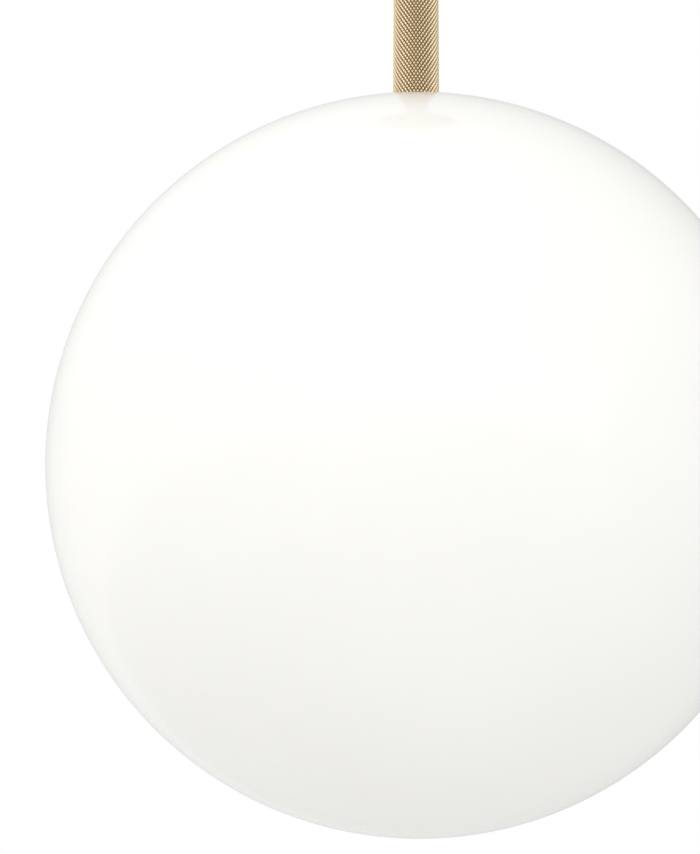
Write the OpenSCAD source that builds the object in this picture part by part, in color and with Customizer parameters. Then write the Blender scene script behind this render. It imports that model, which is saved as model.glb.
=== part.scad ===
// Pendant ceiling light: an opal glass globe on a rigid round stem.
// The origin is on the ceiling, on the light's axis. +Z points up, so everything hangs below zero.
// The stem hangs in a two-axis gimbal, so it stays plumb. The canopy slides on the stem.
// The globe and the bulb unscrew downwards.

/* [Ceiling plate] */
// Diameter of the ceiling plate
plate_d = 84; // [78:1:92]
// Thickness of the ceiling plate
plate_t = 2; // [1.5:0.5:3]
// Distance between the two fixing slots
fixing_spacing = 60; // [56:1:64]
// Width of a fixing slot
slot_w = 5; // [4:0.5:6]
// End-to-end length of a fixing slot
slot_l = 12; // [9:1:14]
// Distance of the supply cable's hole from the axis
cable_hole_y = 24; // [22:1:27]
// Diameter of the supply cable's hole in the plate
cable_hole_d = 12; // [10:0.5:13]
// Diameter of the bore in the grommet
grommet_bore_d = 8; // [5:0.5:9]

/* [Gimbal] */
// Depth of the gimbal's centre below the ceiling
pivot_drop = 20; // [18:1:24]
// Thickness of the yoke's strap
yoke_t = 2; // [1.5:0.5:2.5]
// Width of the yoke's strap
yoke_w = 14; // [12:1:16]
// Outer diameter of the gimbal ring
ring_d = 25; // [24.5:0.5:26]
// Height of the gimbal ring
ring_h = 7; // [6:0.5:8]
// Diameter of the pivot pins
pin_d = 3; // [2.5:0.1:3.4]
// Diameter of the head that hangs in the gimbal ring
head_d = 16; // [15.5:0.5:16.5]

/* [Stem] */
// Outer diameter of the stem
stem_d = 14; // [12:0.1:17]
// Length of the stem
stem_length = 360; // [260:10:900]
// Major diameter of the threads at the stem's two ends
thread_d = 10; // [9:0.5:10]
// Bore for the leads through the head and the nipple
lead_bore_d = 7.2; // [6.8:0.1:7.4]

/* [Canopy] */
// Outer diameter of the canopy
canopy_d = 100; // [94:1:130]
// Height of the canopy
canopy_h = 35; // [32:1:50]
// Wall thickness of the canopy
canopy_t = 1.2; // [1:0.1:1.5]
// Gap between the canopy and the ceiling, which lets the stem tilt
ceiling_gap = 5; // [4:0.5:8]
// Outer diameter of the canopy's collar
collar_d = 22; // [21:0.5:26]
// Height of the canopy's collar
collar_h = 10; // [8:0.5:16]

/* [Globe] */
// Outer diameter of the glass globe
globe_d = 200; // [170:1:300]
// Thickness of the glass
glass_t = 3; // [2:0.5:4]
// Diameter of the mouth in the glass
mouth_d = 44; // [42:1:60]
// Wall of the threaded ring that is bonded into the mouth
glass_ring_t = 1.8; // [1.5:0.1:2.5]
// Travel of the globe in one turn of its thread
globe_pitch = 2; // [1.5:0.5:2.5]
// Turns from tight to free
globe_turns = 4; // [3:1:4]

/* [Gallery] */
// How far the gallery cap reaches over the glass beyond the mouth
gallery_overlap = 6; // [5:0.5:8]
// Height of the gallery cap's dome above its seat
gallery_rise = 4.6; // [3:0.1:6]
// Metal thickness of the gallery cap
gallery_t = 1.2; // [1:0.1:1.6]
// Least thickness of the gasket on the glass
gasket_t = 1.2; // [0.8:0.1:2]

/* [Lampholder and bulb] */
// Outer diameter of the lampholder's skirt
holder_d = 30; // [29:0.5:31]
// Length of the lampholder's skirt
holder_h = 37; // [35:0.5:42]
// Outer diameter of the bulb's screw cap
bulb_cap_d = 13.9; // [13.7:0.1:14]
// Largest diameter of the bulb's envelope
bulb_d = 35; // [32:0.5:36]
// Overall length of the bulb
bulb_length = 98; // [88:1:104]

/* [Hidden] */
$fn = 96;

// Clearances
thread_gap = 0.05; // between the two sides of a screwed joint that stays tight
running_gap = 0.05; // radial, between a pivot pin and its bore
slide_gap = 0.1; // radial, between parts that are screwed or slid apart by hand
rim_gap = 0.8; // between the gallery cap's rim and the glass
seal_gap = 0.05; // left at each face of the gasket, which turns under load
lead_gap = 0.6; // between the earth tag's barrel and the start of its lead
cut = 1; // how far a cutting tool runs past a face

// Ceiling plate and what is fixed to it
plate_z = -plate_t;
grommet_flange_t = 1.4;
grommet_flange_d = cable_hole_d + 4;
block_size = [24, 16, 14];
block_y = 27;
block_z = plate_z - block_size.z;
pole_x = 5;
pole_drop = 7.5;
pole_z = plate_z - pole_drop;
clamp_d = 4.8;
clamp_bore_d = 2.4;
pole_screw_d = 2.6;
pole_screw_pitch = 9;
block_screw_d = 3;
block_screw_head_d = 5.6;
block_screw_head_h = 1.8;
block_sink_d = 6;
block_sink_h = 2.2;
block_groove_w = 1;
block_groove_h = 4;
clamp_inset = 1;
earth_at = [-22, 22];
earth_screw_d = 4;
earth_screw_head_d = 7.2;
earth_screw_head_h = 2.4;
earth_tag_d = 8;
earth_tag_t = 0.8;
earth_barrel_d = 2.8;
earth_barrel_start = 3.6;
earth_barrel_end = [-16.5, 18.6];
yoke_screw_d = 4;
yoke_screw_head_d = 7;
yoke_screw_head_h = 2.2;
yoke_screw_x = 7;

// Gimbal
pivot_z = -pivot_drop;
ring_flat_depth = 0.4;
ring_flat_x = ring_d / 2 - ring_flat_depth;
washer_t = 0.4;
washer_d = pin_d + 3.4;
arm_x = ring_flat_x + slide_gap + washer_t;
arm_below = yoke_w / 2;
ring_bore_d = head_d + 1.2;
yoke_pin_tip_x = ring_bore_d / 2 + 0.6;
ring_pin_tip_y = lead_bore_d / 2 + 0.6;
ring_pin_end_y = ring_d / 2 - 0.3;
head_above = 6;
head_below = 8;
head_top_z = pivot_z + head_above;
spigot_l = 9;

// Stem
stem_top_z = pivot_z - head_below;
stem_bottom_z = stem_top_z - stem_length;
thread_l = 10;

// Canopy
canopy_top_z = -ceiling_gap;
canopy_floor_z = canopy_top_z - canopy_h;
canopy_corner_r = 4;
collar_bore_d = stem_d + 2 * slide_gap;
collar_thread_d = collar_bore_d + 2.8;
collar_thread_l = 6;
collar_nut_af = collar_thread_d + 7;
collar_nut_h = 3;
collar_screw_d = 3;
collar_screw_l = (collar_d - stem_d) / 2 - 0.45;
collar_socket_d = 1.7;
collar_socket_h = 1.5;

// Gallery, gasket and glass, from the top down
mouth_r = mouth_d / 2;
globe_r = globe_d / 2;
gallery_r = mouth_r + gallery_overlap;
gallery_top_z = stem_bottom_z;
seat_z = gallery_top_z - gallery_rise - gallery_t;
flange_t = 1.2;
flange_r = gallery_r - gallery_t - 1.3;
gasket_in_r = mouth_r - 1;
gasket_out_r = flange_r - 0.5;
globe_z = seat_z - gasket_t - sqrt(pow(globe_r + flange_t, 2) - pow(gasket_in_r, 2));
glass_ring_out_r = mouth_r - 0.1;
glass_ring_in_r = glass_ring_out_r - glass_ring_t;
globe_thread_l = globe_pitch * globe_turns;
glass_ring_l = globe_thread_l + 2.7;
rim_z = globe_z + sqrt(pow(globe_r, 2) - pow(gallery_r, 2)) + rim_gap;
gallery_seat_in_r = mouth_r - 2;
gallery_flat_r = 9;

// Carrier that the globe screws onto
carrier_r = glass_ring_in_r - slide_gap;
carrier_wall = 2.4;
carrier_web_t = 2.4;
carrier_h = globe_thread_l + 4;
carrier_top_z = seat_z - 0.2;
hub_r = 8.5;
hub_top_z = gallery_top_z - gallery_t;
hub_bottom_z = carrier_top_z - carrier_web_t - 0.8;
lock_washer_t = 0.7;
lock_washer_d = 16;
lock_notch_r = 7.6;
lock_notch_d = 1.6;
vent_d = 4.5;
carrier_nut_h = 3;
carrier_nut_af = 14;
nut_top_z = hub_bottom_z - lock_washer_t;
nut_bottom_z = nut_top_z - carrier_nut_h;

// Lampholder, with a shell seven threads long
bulb_pitch = 2.822;
shell_threads = 7;
holder_cap_r = holder_d / 2 - 1.5;
holder_cap_h = 16;
holder_cap_wall = 1.2;
holder_cap_z = nut_bottom_z - 1;
holder_cap_bottom_z = holder_cap_z - holder_cap_h;
nipple_bottom_z = holder_cap_z - 8;
skirt_overlap = 4;
skirt_top_z = holder_cap_bottom_z + skirt_overlap;
skirt_wall = 1.3;
face_z = skirt_top_z - holder_h;
ledge_z = face_z + 16;
insert_h = 14;
insert_top_z = ledge_z + insert_h;
insert_r = holder_d / 2 - skirt_wall - 0.2;
recess_z = ledge_z + 10;
cap_r = bulb_cap_d / 2;
shell_in_r = cap_r + 0.25;
shell_t = 0.4;
shell_r = shell_in_r + shell_t;
shell_z = recess_z - shell_threads * bulb_pitch;
skirt_bore_r = shell_r + 0.6;
contact_leaf_t = 0.6;
bulb_tip_z = face_z + 24;
contact_gap = 0.05;
post_r = 1.5;
contact_d = 7;
terminal_hole_h = 2.5;
terminal_size = [5.5, 6.5, 5];
terminal_r = 8.5;
terminal_angles = [180, 0, 90];
holder_screw_d = 2.5;

// Bulb, from its tip down
pip_h = 1;
pip_d = 4.8;
insulator_h = 2.7;
insulator_tip_r = 3.2;
cap_top_z = bulb_tip_z - pip_h - insulator_h;
cap_bottom_z = face_z + 1.2;
cap_wall = 0.3;
cap_lip = 0.6; // how far the cap's flared lip stands out
housing_wall = 1.2;
housing_neck_h = 8;
bulb_r = bulb_d / 2;
board_z = face_z - 29;
board_t = 1.2;
housing_r = bulb_r - 3;
board_r = housing_r - housing_wall - 0.1;
shelf_r = board_r - 1.7;
lip_z = board_z - 1.5;
envelope_t = 1.2;
envelope_neck_r = housing_r - 0.2;
envelope_shoulder_z = board_z - 10;
bulb_end_z = bulb_tip_z - bulb_length;
dome_z = bulb_end_z + bulb_r;

// Leads: radius, and the place of each in the bore, then its route at both ends
lead_r = 0.95;
lead_offset = 1.6;
lead_sides = 8;
live_top = [[-5, 24, pole_z], [-5, 18, pole_z], [-4.6, 14, pole_z + 0.4], [-3.6, 8, pole_z + 1],
    [-2.6, 3.5, pole_z + 0.6], [-2, 1, pole_z - 1.2], [-lead_offset, 0, head_top_z + 1]];
neutral_top = [for (p = live_top) [-p.x, p.y, p.z]];
earth_top = [[earth_barrel_end.x, earth_barrel_end.y, plate_z - 1.4], [-14, 16.6, plate_z - 2.4],
    [-9, 12.6, plate_z - 4.2], [-4, 8, plate_z - 4.6], [-1, 4.4, plate_z - 4.8], [0, 2.2, plate_z - 6.6],
    [0, lead_offset, head_top_z + 1]];
lead_end = [[lead_offset, 0, nipple_bottom_z + 1], [lead_offset + 0.5, 0, nipple_bottom_z - 0.9],
    [lead_offset + 2.6, 0, nipple_bottom_z - 2.7], [terminal_r - 1.9, 0, nipple_bottom_z - 3.4],
    [terminal_r - 0.2, 0, nipple_bottom_z - 4.9], [terminal_r, 0, insert_top_z + 2]];

// ---------- shared shapes ----------

// A cylinder on the axis between two heights
module rod(d, z0, z1) {
    translate([0, 0, min(z0, z1)])
        cylinder(d = d, h = abs(z1 - z0));
}

// A plain tube on the axis between two heights
module pipe(d_out, d_in, z0, z1) {
    difference() {
        rod(d_out, z0, z1);
        rod(d_in, min(z0, z1) - cut, max(z0, z1) + cut);
    }
}

// A hexagonal nut on the axis
module hex_nut(af, bore_d, z0, z1) {
    difference() {
        translate([0, 0, min(z0, z1)])
            cylinder(d = af / cos(30), h = abs(z1 - z0), $fn = 6);
        rod(bore_d, min(z0, z1) - cut, max(z0, z1) + cut);
    }
}

// A screw whose head hangs below the place it is put at, with a cross slot, shank upwards
module pan_screw(d, head_d, head_h, shank_l) {
    slot_reach = head_d * 0.32;
    slot_w = 0.7;
    slot_h = head_h * 0.55;
    difference() {
        union() {
            cylinder(d = d, h = shank_l);
            translate([0, 0, -head_h])
                cylinder(d = head_d, h = head_h);
        }
        for (a = [0, 90])
            rotate([0, 0, a])
                translate([-slot_reach, -slot_w / 2, -head_h - cut])
                    cube([2 * slot_reach, slot_w, slot_h + cut]);
    }
}

// A cylinder along +X or +Y from one place to another on that axis
module rod_x(d, x0, x1) {
    translate([x0, 0, 0])
        rotate([0, 90, 0])
            cylinder(d = d, h = x1 - x0);
}

module rod_y(d, y0, y1) {
    translate([0, y0, 0])
        rotate([-90, 0, 0])
            cylinder(d = d, h = y1 - y0);
}

// A long slot with round ends, cut downwards through the plate
module slot_cut(l, w) {
    translate([0, 0, plate_z - cut]) {
        for (s = [-1, 1])
            translate([s * (l - w) / 2, 0, 0])
                cylinder(d = w, h = plate_t + 2 * cut);
        translate([-(l - w) / 2, -w / 2, 0])
            cube([l - w, w, plate_t + 2 * cut]);
    }
}

// A round tube of lead_sides sides swept along points
function unit(v) = v / norm(v);
function tangent(p, i) = unit(p[min(i + 1, len(p) - 1)] - p[max(i - 1, 0)]);
// A side direction that never turns over: every route runs mostly in Y and Z
function side_of(t) = unit(cross(t, [1, 0.02, 0]));
function ring_at(p, i, r) = let (t = tangent(p, i), u = side_of(t), v = cross(t, u))
    [for (k = [0:lead_sides - 1]) let (a = 360 * k / lead_sides)
        p[i] + r * (cos(a) * u + sin(a) * v)];

module swept_lead(p, r) {
    n = lead_sides;
    last = len(p) - 1;
    pts = [for (i = [0:last]) each ring_at(p, i, r)];
    walls = [for (i = [0:last - 1]) for (k = [0:n - 1])
        [i * n + k, i * n + (k + 1) % n, (i + 1) * n + (k + 1) % n, (i + 1) * n + k]];
    ends = [[for (k = [n - 1:-1:0]) k], [for (k = [0:n - 1]) last * n + k]];
    polyhedron(points = pts, faces = concat(walls, ends), convexity = 6);
}

function turned(p, a) = [p.x * cos(a) - p.y * sin(a), p.x * sin(a) + p.y * cos(a), p.z];

// ---------- ceiling plate ----------

module ceiling_plate() {
    color("gainsboro")
        difference() {
            rod(plate_d, plate_z, 0);
            for (s = [-1, 1])
                translate([s * fixing_spacing / 2, 0, 0])
                    slot_cut(slot_l, slot_w);
            translate([0, -cable_hole_y, 0])
                rod(cable_hole_d, plate_z - cut, cut);
            for (s = [-1, 1])
                translate([s * yoke_screw_x, 0, 0])
                    rod(yoke_screw_d, plate_z - cut, cut);
            translate([0, block_y, 0])
                rod(block_screw_d, plate_z - cut, cut);
            translate([earth_at.x, earth_at.y, 0])
                rod(earth_screw_d, plate_z - cut, cut);
        }
}

module cable_grommet() {
    color("dimgray")
        translate([0, -cable_hole_y, 0])
            difference() {
                union() {
                    rod(cable_hole_d, plate_z, 0);
                    rod(grommet_flange_d, plate_z - grommet_flange_t, plate_z);
                }
                rod(grommet_bore_d, plate_z - grommet_flange_t - cut, cut);
            }
}

module yoke_profile() {
    outer_x = arm_x + yoke_t;
    top = plate_z;
    bottom = pivot_z - arm_below;
    bend = 2;
    difference() {
        union() {
            translate([-outer_x, bottom])
                square([2 * outer_x, top - bottom - bend - yoke_t]);
            translate([-outer_x + bend + yoke_t, bottom])
                square([2 * (outer_x - bend - yoke_t), top - bottom]);
            for (s = [-1, 1])
                translate([s * (outer_x - bend - yoke_t), top - bend - yoke_t])
                    circle(r = bend + yoke_t);
        }
        translate([-arm_x, bottom - cut])
            square([2 * arm_x, top - bottom - bend - yoke_t + cut]);
        translate([-arm_x + bend, bottom])
            square([2 * (arm_x - bend), top - bottom - yoke_t]);
        for (s = [-1, 1])
            translate([s * (arm_x - bend), top - bend - yoke_t])
                circle(r = bend);
    }
}

module yoke() {
    color("silver")
        difference() {
            intersection() {
                rotate([90, 0, 0])
                    linear_extrude(height = yoke_w, center = true)
                        yoke_profile();
                union() {
                    translate([-ring_d, -yoke_w / 2 - cut, pivot_z])
                        cube([2 * ring_d, yoke_w + 2 * cut, pivot_drop]);
                    translate([0, 0, pivot_z])
                        rod_x(2 * arm_below, -ring_d, ring_d);
                }
            }
            translate([0, 0, pivot_z])
                rod_x(pin_d, -ring_d, ring_d);
            for (s = [-1, 1])
                translate([s * yoke_screw_x, 0, 0])
                    rod(yoke_screw_d, plate_z - yoke_t - cut, 0);
        }
}

module yoke_screws() {
    color("silver")
        for (s = [-1, 1])
            translate([s * yoke_screw_x, 0, plate_z - yoke_t])
                pan_screw(yoke_screw_d, yoke_screw_head_d, yoke_screw_head_h, yoke_t + plate_t);
}

module yoke_pins() {
    head_t = 1.2;
    color("lightsteelblue")
        for (s = [0, 180])
            translate([0, 0, pivot_z])
                rotate([0, 0, s]) {
                    rod_x(pin_d, yoke_pin_tip_x, arm_x + yoke_t);
                    rod_x(pin_d * 2, arm_x + yoke_t, arm_x + yoke_t + head_t);
                }
}

module pivot_washers() {
    color("goldenrod")
        for (s = [0, 180])
            translate([0, 0, pivot_z])
                rotate([0, 0, s])
                    difference() {
                        rod_x(washer_d, arm_x - washer_t, arm_x);
                        rod_x(pin_d + 2 * running_gap, arm_x - washer_t - cut, arm_x + cut);
                    }
}

// ---------- terminals on the plate ----------

module at_poles() {
    for (s = [-1, 1])
        translate([s * pole_x, block_y, pole_z])
            children();
}

module at_pole_screws() {
    for (s = [-1, 1])
        for (t = [-1, 1])
            translate([s * pole_x, block_y + t * pole_screw_pitch / 2, 0])
                children();
}

module terminal_block() {
    screw_hole_d = pole_screw_d + 0.6;
    bolt_hole_d = block_screw_d + 0.2;
    color("ivory")
        difference() {
            translate([-block_size.x / 2, block_y - block_size.y / 2, block_z])
                cube(block_size);
            at_poles()
                rod_y(clamp_d, -block_size.y / 2 - cut, block_size.y / 2 + cut);
            at_pole_screws()
                rod(screw_hole_d, block_z - cut, pole_z);
            translate([0, block_y, 0]) {
                rod(bolt_hole_d, block_z - cut, 0);
                rod(block_sink_d, block_z - cut, block_z + block_sink_h);
            }
            for (s = [-1, 1])
                translate([s * block_size.x / 2 - block_groove_w, block_y - block_size.y / 2 - cut,
                    block_z - cut])
                    cube([2 * block_groove_w, block_size.y + 2 * cut, block_groove_h + cut]);
        }
}

module terminal_clamps() {
    half = block_size.y / 2 - clamp_inset;
    color("gold")
        difference() {
            at_poles()
                rod_y(clamp_d, -half, half);
            at_poles()
                rod_y(clamp_bore_d, -half - cut, half + cut);
            at_pole_screws()
                rod(pole_screw_d, block_z, pole_z);
        }
}

module terminal_screws() {
    tip_z = pole_z - clamp_bore_d / 2;
    head_z = block_z + 0.6;
    slot_w = 0.6;
    slot_h = 0.7;
    color("silver")
        at_pole_screws()
            difference() {
                rod(pole_screw_d, head_z, tip_z);
                translate([-pole_screw_d, -slot_w / 2, head_z - cut])
                    cube([2 * pole_screw_d, slot_w, slot_h + cut]);
            }
}

module block_screw() {
    color("silver")
        translate([0, block_y, block_z + block_sink_h])
            pan_screw(block_screw_d, block_screw_head_d, block_screw_head_h, -block_z - block_sink_h);
}

module earth_tag() {
    way = earth_barrel_end - earth_at;
    color("gold")
        translate([earth_at.x, earth_at.y, plate_z]) {
            difference() {
                union() {
                    rod(earth_tag_d, -earth_tag_t, 0);
                    rotate([0, 0, atan2(way.y, way.x)])
                        translate([0, 0, -earth_barrel_d / 2])
                            rod_x(earth_barrel_d, earth_barrel_start, norm(way) - lead_gap);
                }
                rod(earth_screw_d, -earth_barrel_d - cut, cut);
            }
        }
}

module earth_screw() {
    color("gold")
        translate([earth_at.x, earth_at.y, plate_z - earth_tag_t])
            pan_screw(earth_screw_d, earth_screw_head_d, earth_screw_head_h, earth_tag_t + plate_t);
}

// ---------- gimbal ----------

module gimbal_ring() {
    color("silver")
        difference() {
            intersection() {
                rod(ring_d, pivot_z - ring_h / 2, pivot_z + ring_h / 2);
                translate([-ring_flat_x, -ring_d, pivot_z - ring_h])
                    cube([2 * ring_flat_x, 2 * ring_d, 2 * ring_h]);
            }
            rod(ring_bore_d, pivot_z - ring_h, pivot_z + ring_h);
            translate([0, 0, pivot_z]) {
                rod_x(pin_d + 2 * running_gap, -ring_d, ring_d);
                rod_y(pin_d, -ring_d, ring_d);
            }
        }
}

module ring_pins() {
    color("lightsteelblue")
        for (s = [0, 180])
            translate([0, 0, pivot_z])
                rotate([0, 0, s])
                    rod_y(pin_d, ring_pin_tip_y, ring_pin_end_y);
}

// ---------- stem ----------

module stem_head() {
    color("darkkhaki")
        difference() {
            union() {
                rod(head_d, stem_top_z, head_top_z);
                rod(thread_d - 2 * thread_gap, stem_top_z - spigot_l, stem_top_z);
            }
            rod(lead_bore_d, stem_top_z - spigot_l - cut, head_top_z + cut);
            translate([0, 0, pivot_z])
                rod_y(pin_d + 2 * running_gap, -head_d, head_d);
        }
}

module stem() {
    color("burlywood")
        pipe(stem_d, thread_d, stem_bottom_z, stem_top_z);
}

module lead(top, angle) {
    inside = [for (p = lead_end) turned(p, angle)];
    swept_lead(concat(top, inside), lead_r);
}

module lead_live() {
    color("sienna")
        lead(live_top, terminal_angles[0]);
}

module lead_neutral() {
    color("royalblue")
        lead(neutral_top, terminal_angles[1]);
}

module lead_earth() {
    color("yellowgreen")
        lead(earth_top, terminal_angles[2]);
}

// ---------- canopy ----------

module canopy() {
    r = canopy_d / 2;
    color("burlywood")
        difference() {
            rotate_extrude()
                difference() {
                    union() {
                        translate([0, canopy_floor_z + canopy_corner_r])
                            square([r, canopy_h - canopy_corner_r]);
                        translate([0, canopy_floor_z])
                            square([r - canopy_corner_r, canopy_corner_r]);
                        translate([r - canopy_corner_r, canopy_floor_z + canopy_corner_r])
                            circle(r = canopy_corner_r);
                    }
                    translate([-cut, canopy_floor_z + canopy_corner_r])
                        square([r - canopy_t + cut, canopy_h]);
                    translate([-cut, canopy_floor_z + canopy_t])
                        square([r - canopy_corner_r + cut, canopy_corner_r]);
                    translate([r - canopy_corner_r, canopy_floor_z + canopy_corner_r])
                        circle(r = canopy_corner_r - canopy_t);
                    translate([-2 * r, canopy_floor_z - cut])
                        square([2 * r, canopy_h + 2 * cut]);
                }
            rod(collar_thread_d + 2 * thread_gap, canopy_floor_z - cut, canopy_floor_z + canopy_t + cut);
        }
}

module canopy_collar() {
    chamfer = 0.8;
    color("burlywood")
        difference() {
            union() {
                rod(collar_d, canopy_floor_z - collar_h + chamfer, canopy_floor_z);
                translate([0, 0, canopy_floor_z - collar_h])
                    cylinder(d1 = collar_d - 2 * chamfer, d2 = collar_d, h = chamfer);
                rod(collar_thread_d, canopy_floor_z, canopy_floor_z + collar_thread_l);
            }
            rod(collar_bore_d, canopy_floor_z - collar_h - cut, canopy_floor_z + collar_thread_l + cut);
            translate([0, 0, canopy_floor_z - collar_h / 2])
                rod_y(collar_screw_d, 0, collar_d);
        }
}

module canopy_nut() {
    color("silver")
        hex_nut(collar_nut_af, collar_thread_d + 2 * thread_gap,
            canopy_floor_z + canopy_t, canopy_floor_z + canopy_t + collar_nut_h);
}

module collar_screw() {
    start = stem_d / 2 + 0.05;
    color("dimgray")
        translate([0, 0, canopy_floor_z - collar_h / 2])
            difference() {
                rod_y(collar_screw_d - 2 * thread_gap, start, start + collar_screw_l);
                translate([0, start + collar_screw_l - collar_socket_h, 0])
                    rotate([-90, 0, 0])
                        cylinder(d = collar_socket_d, h = collar_socket_h + cut, $fn = 6);
            }
}

// ---------- gallery and carrier ----------

module nipple() {
    color("gold")
        pipe(thread_d - 2 * thread_gap, lead_bore_d, nipple_bottom_z, stem_bottom_z + thread_l);
}

// The dome falls from its flat middle to its flat seat, then turns down round the rim
module gallery_cap() {
    top = gallery_top_z;
    seat_top = seat_z + gallery_t;
    round_r = 1.6;
    bore_r = thread_d / 2 + thread_gap;
    color("burlywood")
        difference() {
            union() {
                rotate_extrude()
                    polygon([[bore_r, top], [gallery_flat_r, top], [gallery_seat_in_r, seat_top],
                        [gallery_r - round_r, seat_top], [gallery_r - round_r, seat_top - round_r],
                        [gallery_r, seat_top - round_r], [gallery_r, rim_z], [bore_r, rim_z]]);
                translate([0, 0, seat_top - round_r])
                    rotate_extrude()
                        translate([gallery_r - round_r, 0])
                            circle(r = round_r);
            }
            rotate_extrude()
                polygon([[0, hub_top_z], [gallery_flat_r - 0.3, hub_top_z],
                    [gallery_seat_in_r - 0.3, seat_z], [gallery_r - gallery_t, seat_z],
                    [gallery_r - gallery_t, rim_z - cut], [0, rim_z - cut]]);
        }
}

module globe_carrier() {
    web_z = carrier_top_z - carrier_web_t;
    inner_r = carrier_r - carrier_wall;
    color("silver")
        difference() {
            union() {
                rod(2 * hub_r, hub_bottom_z, hub_top_z);
                rod(2 * carrier_r, carrier_top_z - carrier_h, carrier_top_z);
            }
            rod(thread_d + 2 * thread_gap, hub_bottom_z - carrier_h, hub_top_z + cut);
            difference() {
                rod(2 * inner_r, carrier_top_z - carrier_h - cut, web_z);
                rod(2 * hub_r, hub_bottom_z, hub_top_z);
            }
            for (a = [30:60:330])
                rotate([0, 0, a])
                    translate([(hub_r + inner_r) / 2, 0, 0])
                        rod(vent_d, web_z - cut, carrier_top_z + cut);
        }
}

module lock_washer() {
    color("dimgray")
        difference() {
            pipe(lock_washer_d, thread_d + 2 * thread_gap, nut_top_z, hub_bottom_z);
            for (a = [0:30:330])
                rotate([0, 0, a])
                    translate([lock_notch_r, 0, 0])
                        rod(lock_notch_d, nut_top_z - cut, hub_bottom_z + cut);
        }
}

module carrier_nut() {
    color("silver")
        hex_nut(carrier_nut_af, thread_d + 2 * thread_gap, nut_bottom_z, nut_top_z);
}

// ---------- lampholder ----------

module lampholder_cap() {
    neck_r = 7.2;
    neck_h = 3;
    slope_h = 5;
    wall = holder_cap_wall;
    top = holder_cap_z;
    shoulder_z = top - neck_h - slope_h;
    under_z = top - neck_h - wall - 0.8;
    bore_r = thread_d / 2 + thread_gap;
    color("darkkhaki")
        rotate_extrude()
            polygon([[bore_r, top], [neck_r, top], [neck_r, top - neck_h],
                [holder_cap_r, shoulder_z], [holder_cap_r, holder_cap_bottom_z],
                [holder_cap_r - wall, holder_cap_bottom_z], [holder_cap_r - wall, shoulder_z - 0.4],
                [neck_r - wall / 2, under_z], [bore_r, under_z]]);
}

module lampholder_skirt() {
    r = holder_d / 2;
    color("whitesmoke")
        rotate_extrude()
            polygon([[skirt_bore_r, face_z], [r - 1.6, face_z], [r - 1, face_z + 0.6],
                [r, ledge_z], [r, skirt_top_z], [r - skirt_wall, skirt_top_z],
                [r - skirt_wall, ledge_z], [skirt_bore_r, ledge_z]]);
}

module lampholder_insert() {
    color("white")
        difference() {
            rod(2 * insert_r, ledge_z, insert_top_z);
            rod(2 * (shell_r + 0.1), ledge_z - cut, recess_z);
            rod(2 * post_r, recess_z - cut, insert_top_z + cut);
            for (a = terminal_angles)
                rotate([0, 0, a])
                    translate([terminal_r, 0, 0])
                        rod(holder_screw_d, insert_top_z - terminal_hole_h, insert_top_z + cut);
        }
}

module lampholder_shell() {
    flange_r = shell_r - 0.1;
    flange_hole_r = shell_r - 2.5;
    color("gold")
        union() {
            pipe(2 * shell_r, 2 * shell_in_r, shell_z, recess_z);
            pipe(2 * flange_r, 2 * flange_hole_r, recess_z - shell_t, recess_z);
        }
}

module centre_contact() {
    leaf_z = bulb_tip_z + contact_gap;
    color("gold")
        union() {
            rod(contact_d, leaf_z, leaf_z + contact_leaf_t);
            rod(2 * post_r, leaf_z, insert_top_z + 0.6);
        }
}

module holder_terminals() {
    color("gold")
        for (a = terminal_angles)
            rotate([0, 0, a])
                difference() {
                    translate([terminal_r - terminal_size.x / 2, -terminal_size.y / 2, insert_top_z])
                        cube(terminal_size);
                    translate([terminal_r, 0, 0])
                        rod(2 * lead_r + 0.3, insert_top_z - cut, insert_top_z + terminal_size.z + cut);
                    translate([terminal_r, 0, insert_top_z + terminal_size.z / 2])
                        rod_y(holder_screw_d, lead_r, terminal_size.y);
                }
}

module holder_screws() {
    color("silver")
        for (a = terminal_angles)
            rotate([0, 0, a])
                translate([terminal_r, 0, insert_top_z + terminal_size.z / 2])
                    rod_y(holder_screw_d - 2 * thread_gap, lead_r + 0.2, terminal_size.y / 2 + 0.8);
}

// ---------- globe ----------

// A ball round the globe's centre
module globe_ball(r) {
    translate([0, 0, globe_z])
        sphere(r = r, $fn = 240);
}

module glass_gasket() {
    color("lightgray")
        difference() {
            pipe(2 * gasket_out_r, 2 * gasket_in_r, globe_z + globe_r * 0.9, seat_z - seal_gap);
            globe_ball(globe_r + flange_t + seal_gap);
        }
}

module globe() {
    color("white")
        difference() {
            globe_ball(globe_r);
            globe_ball(globe_r - glass_t);
            rod(mouth_d, globe_z, globe_z + globe_r + cut);
        }
}

// A sleeve through the mouth, with a flange that follows the outside of the glass
module glass_ring() {
    color("silver")
        difference() {
            intersection() {
                globe_ball(globe_r + flange_t);
                union() {
                    rod(2 * glass_ring_out_r, seat_z - glass_ring_l, seat_z);
                    difference() {
                        rod(2 * flange_r, globe_z + globe_r * 0.8, seat_z);
                        globe_ball(globe_r);
                    }
                }
            }
            rod(2 * glass_ring_in_r, globe_z, seat_z + cut);
        }
}

// ---------- bulb ----------

module bulb_pip() {
    color("silver")
        rod(pip_d, bulb_tip_z - pip_h, bulb_tip_z);
}

module bulb_insulator() {
    color("black")
        translate([0, 0, cap_top_z])
            cylinder(r1 = cap_r - 1, r2 = insulator_tip_r, h = insulator_h);
}

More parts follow.
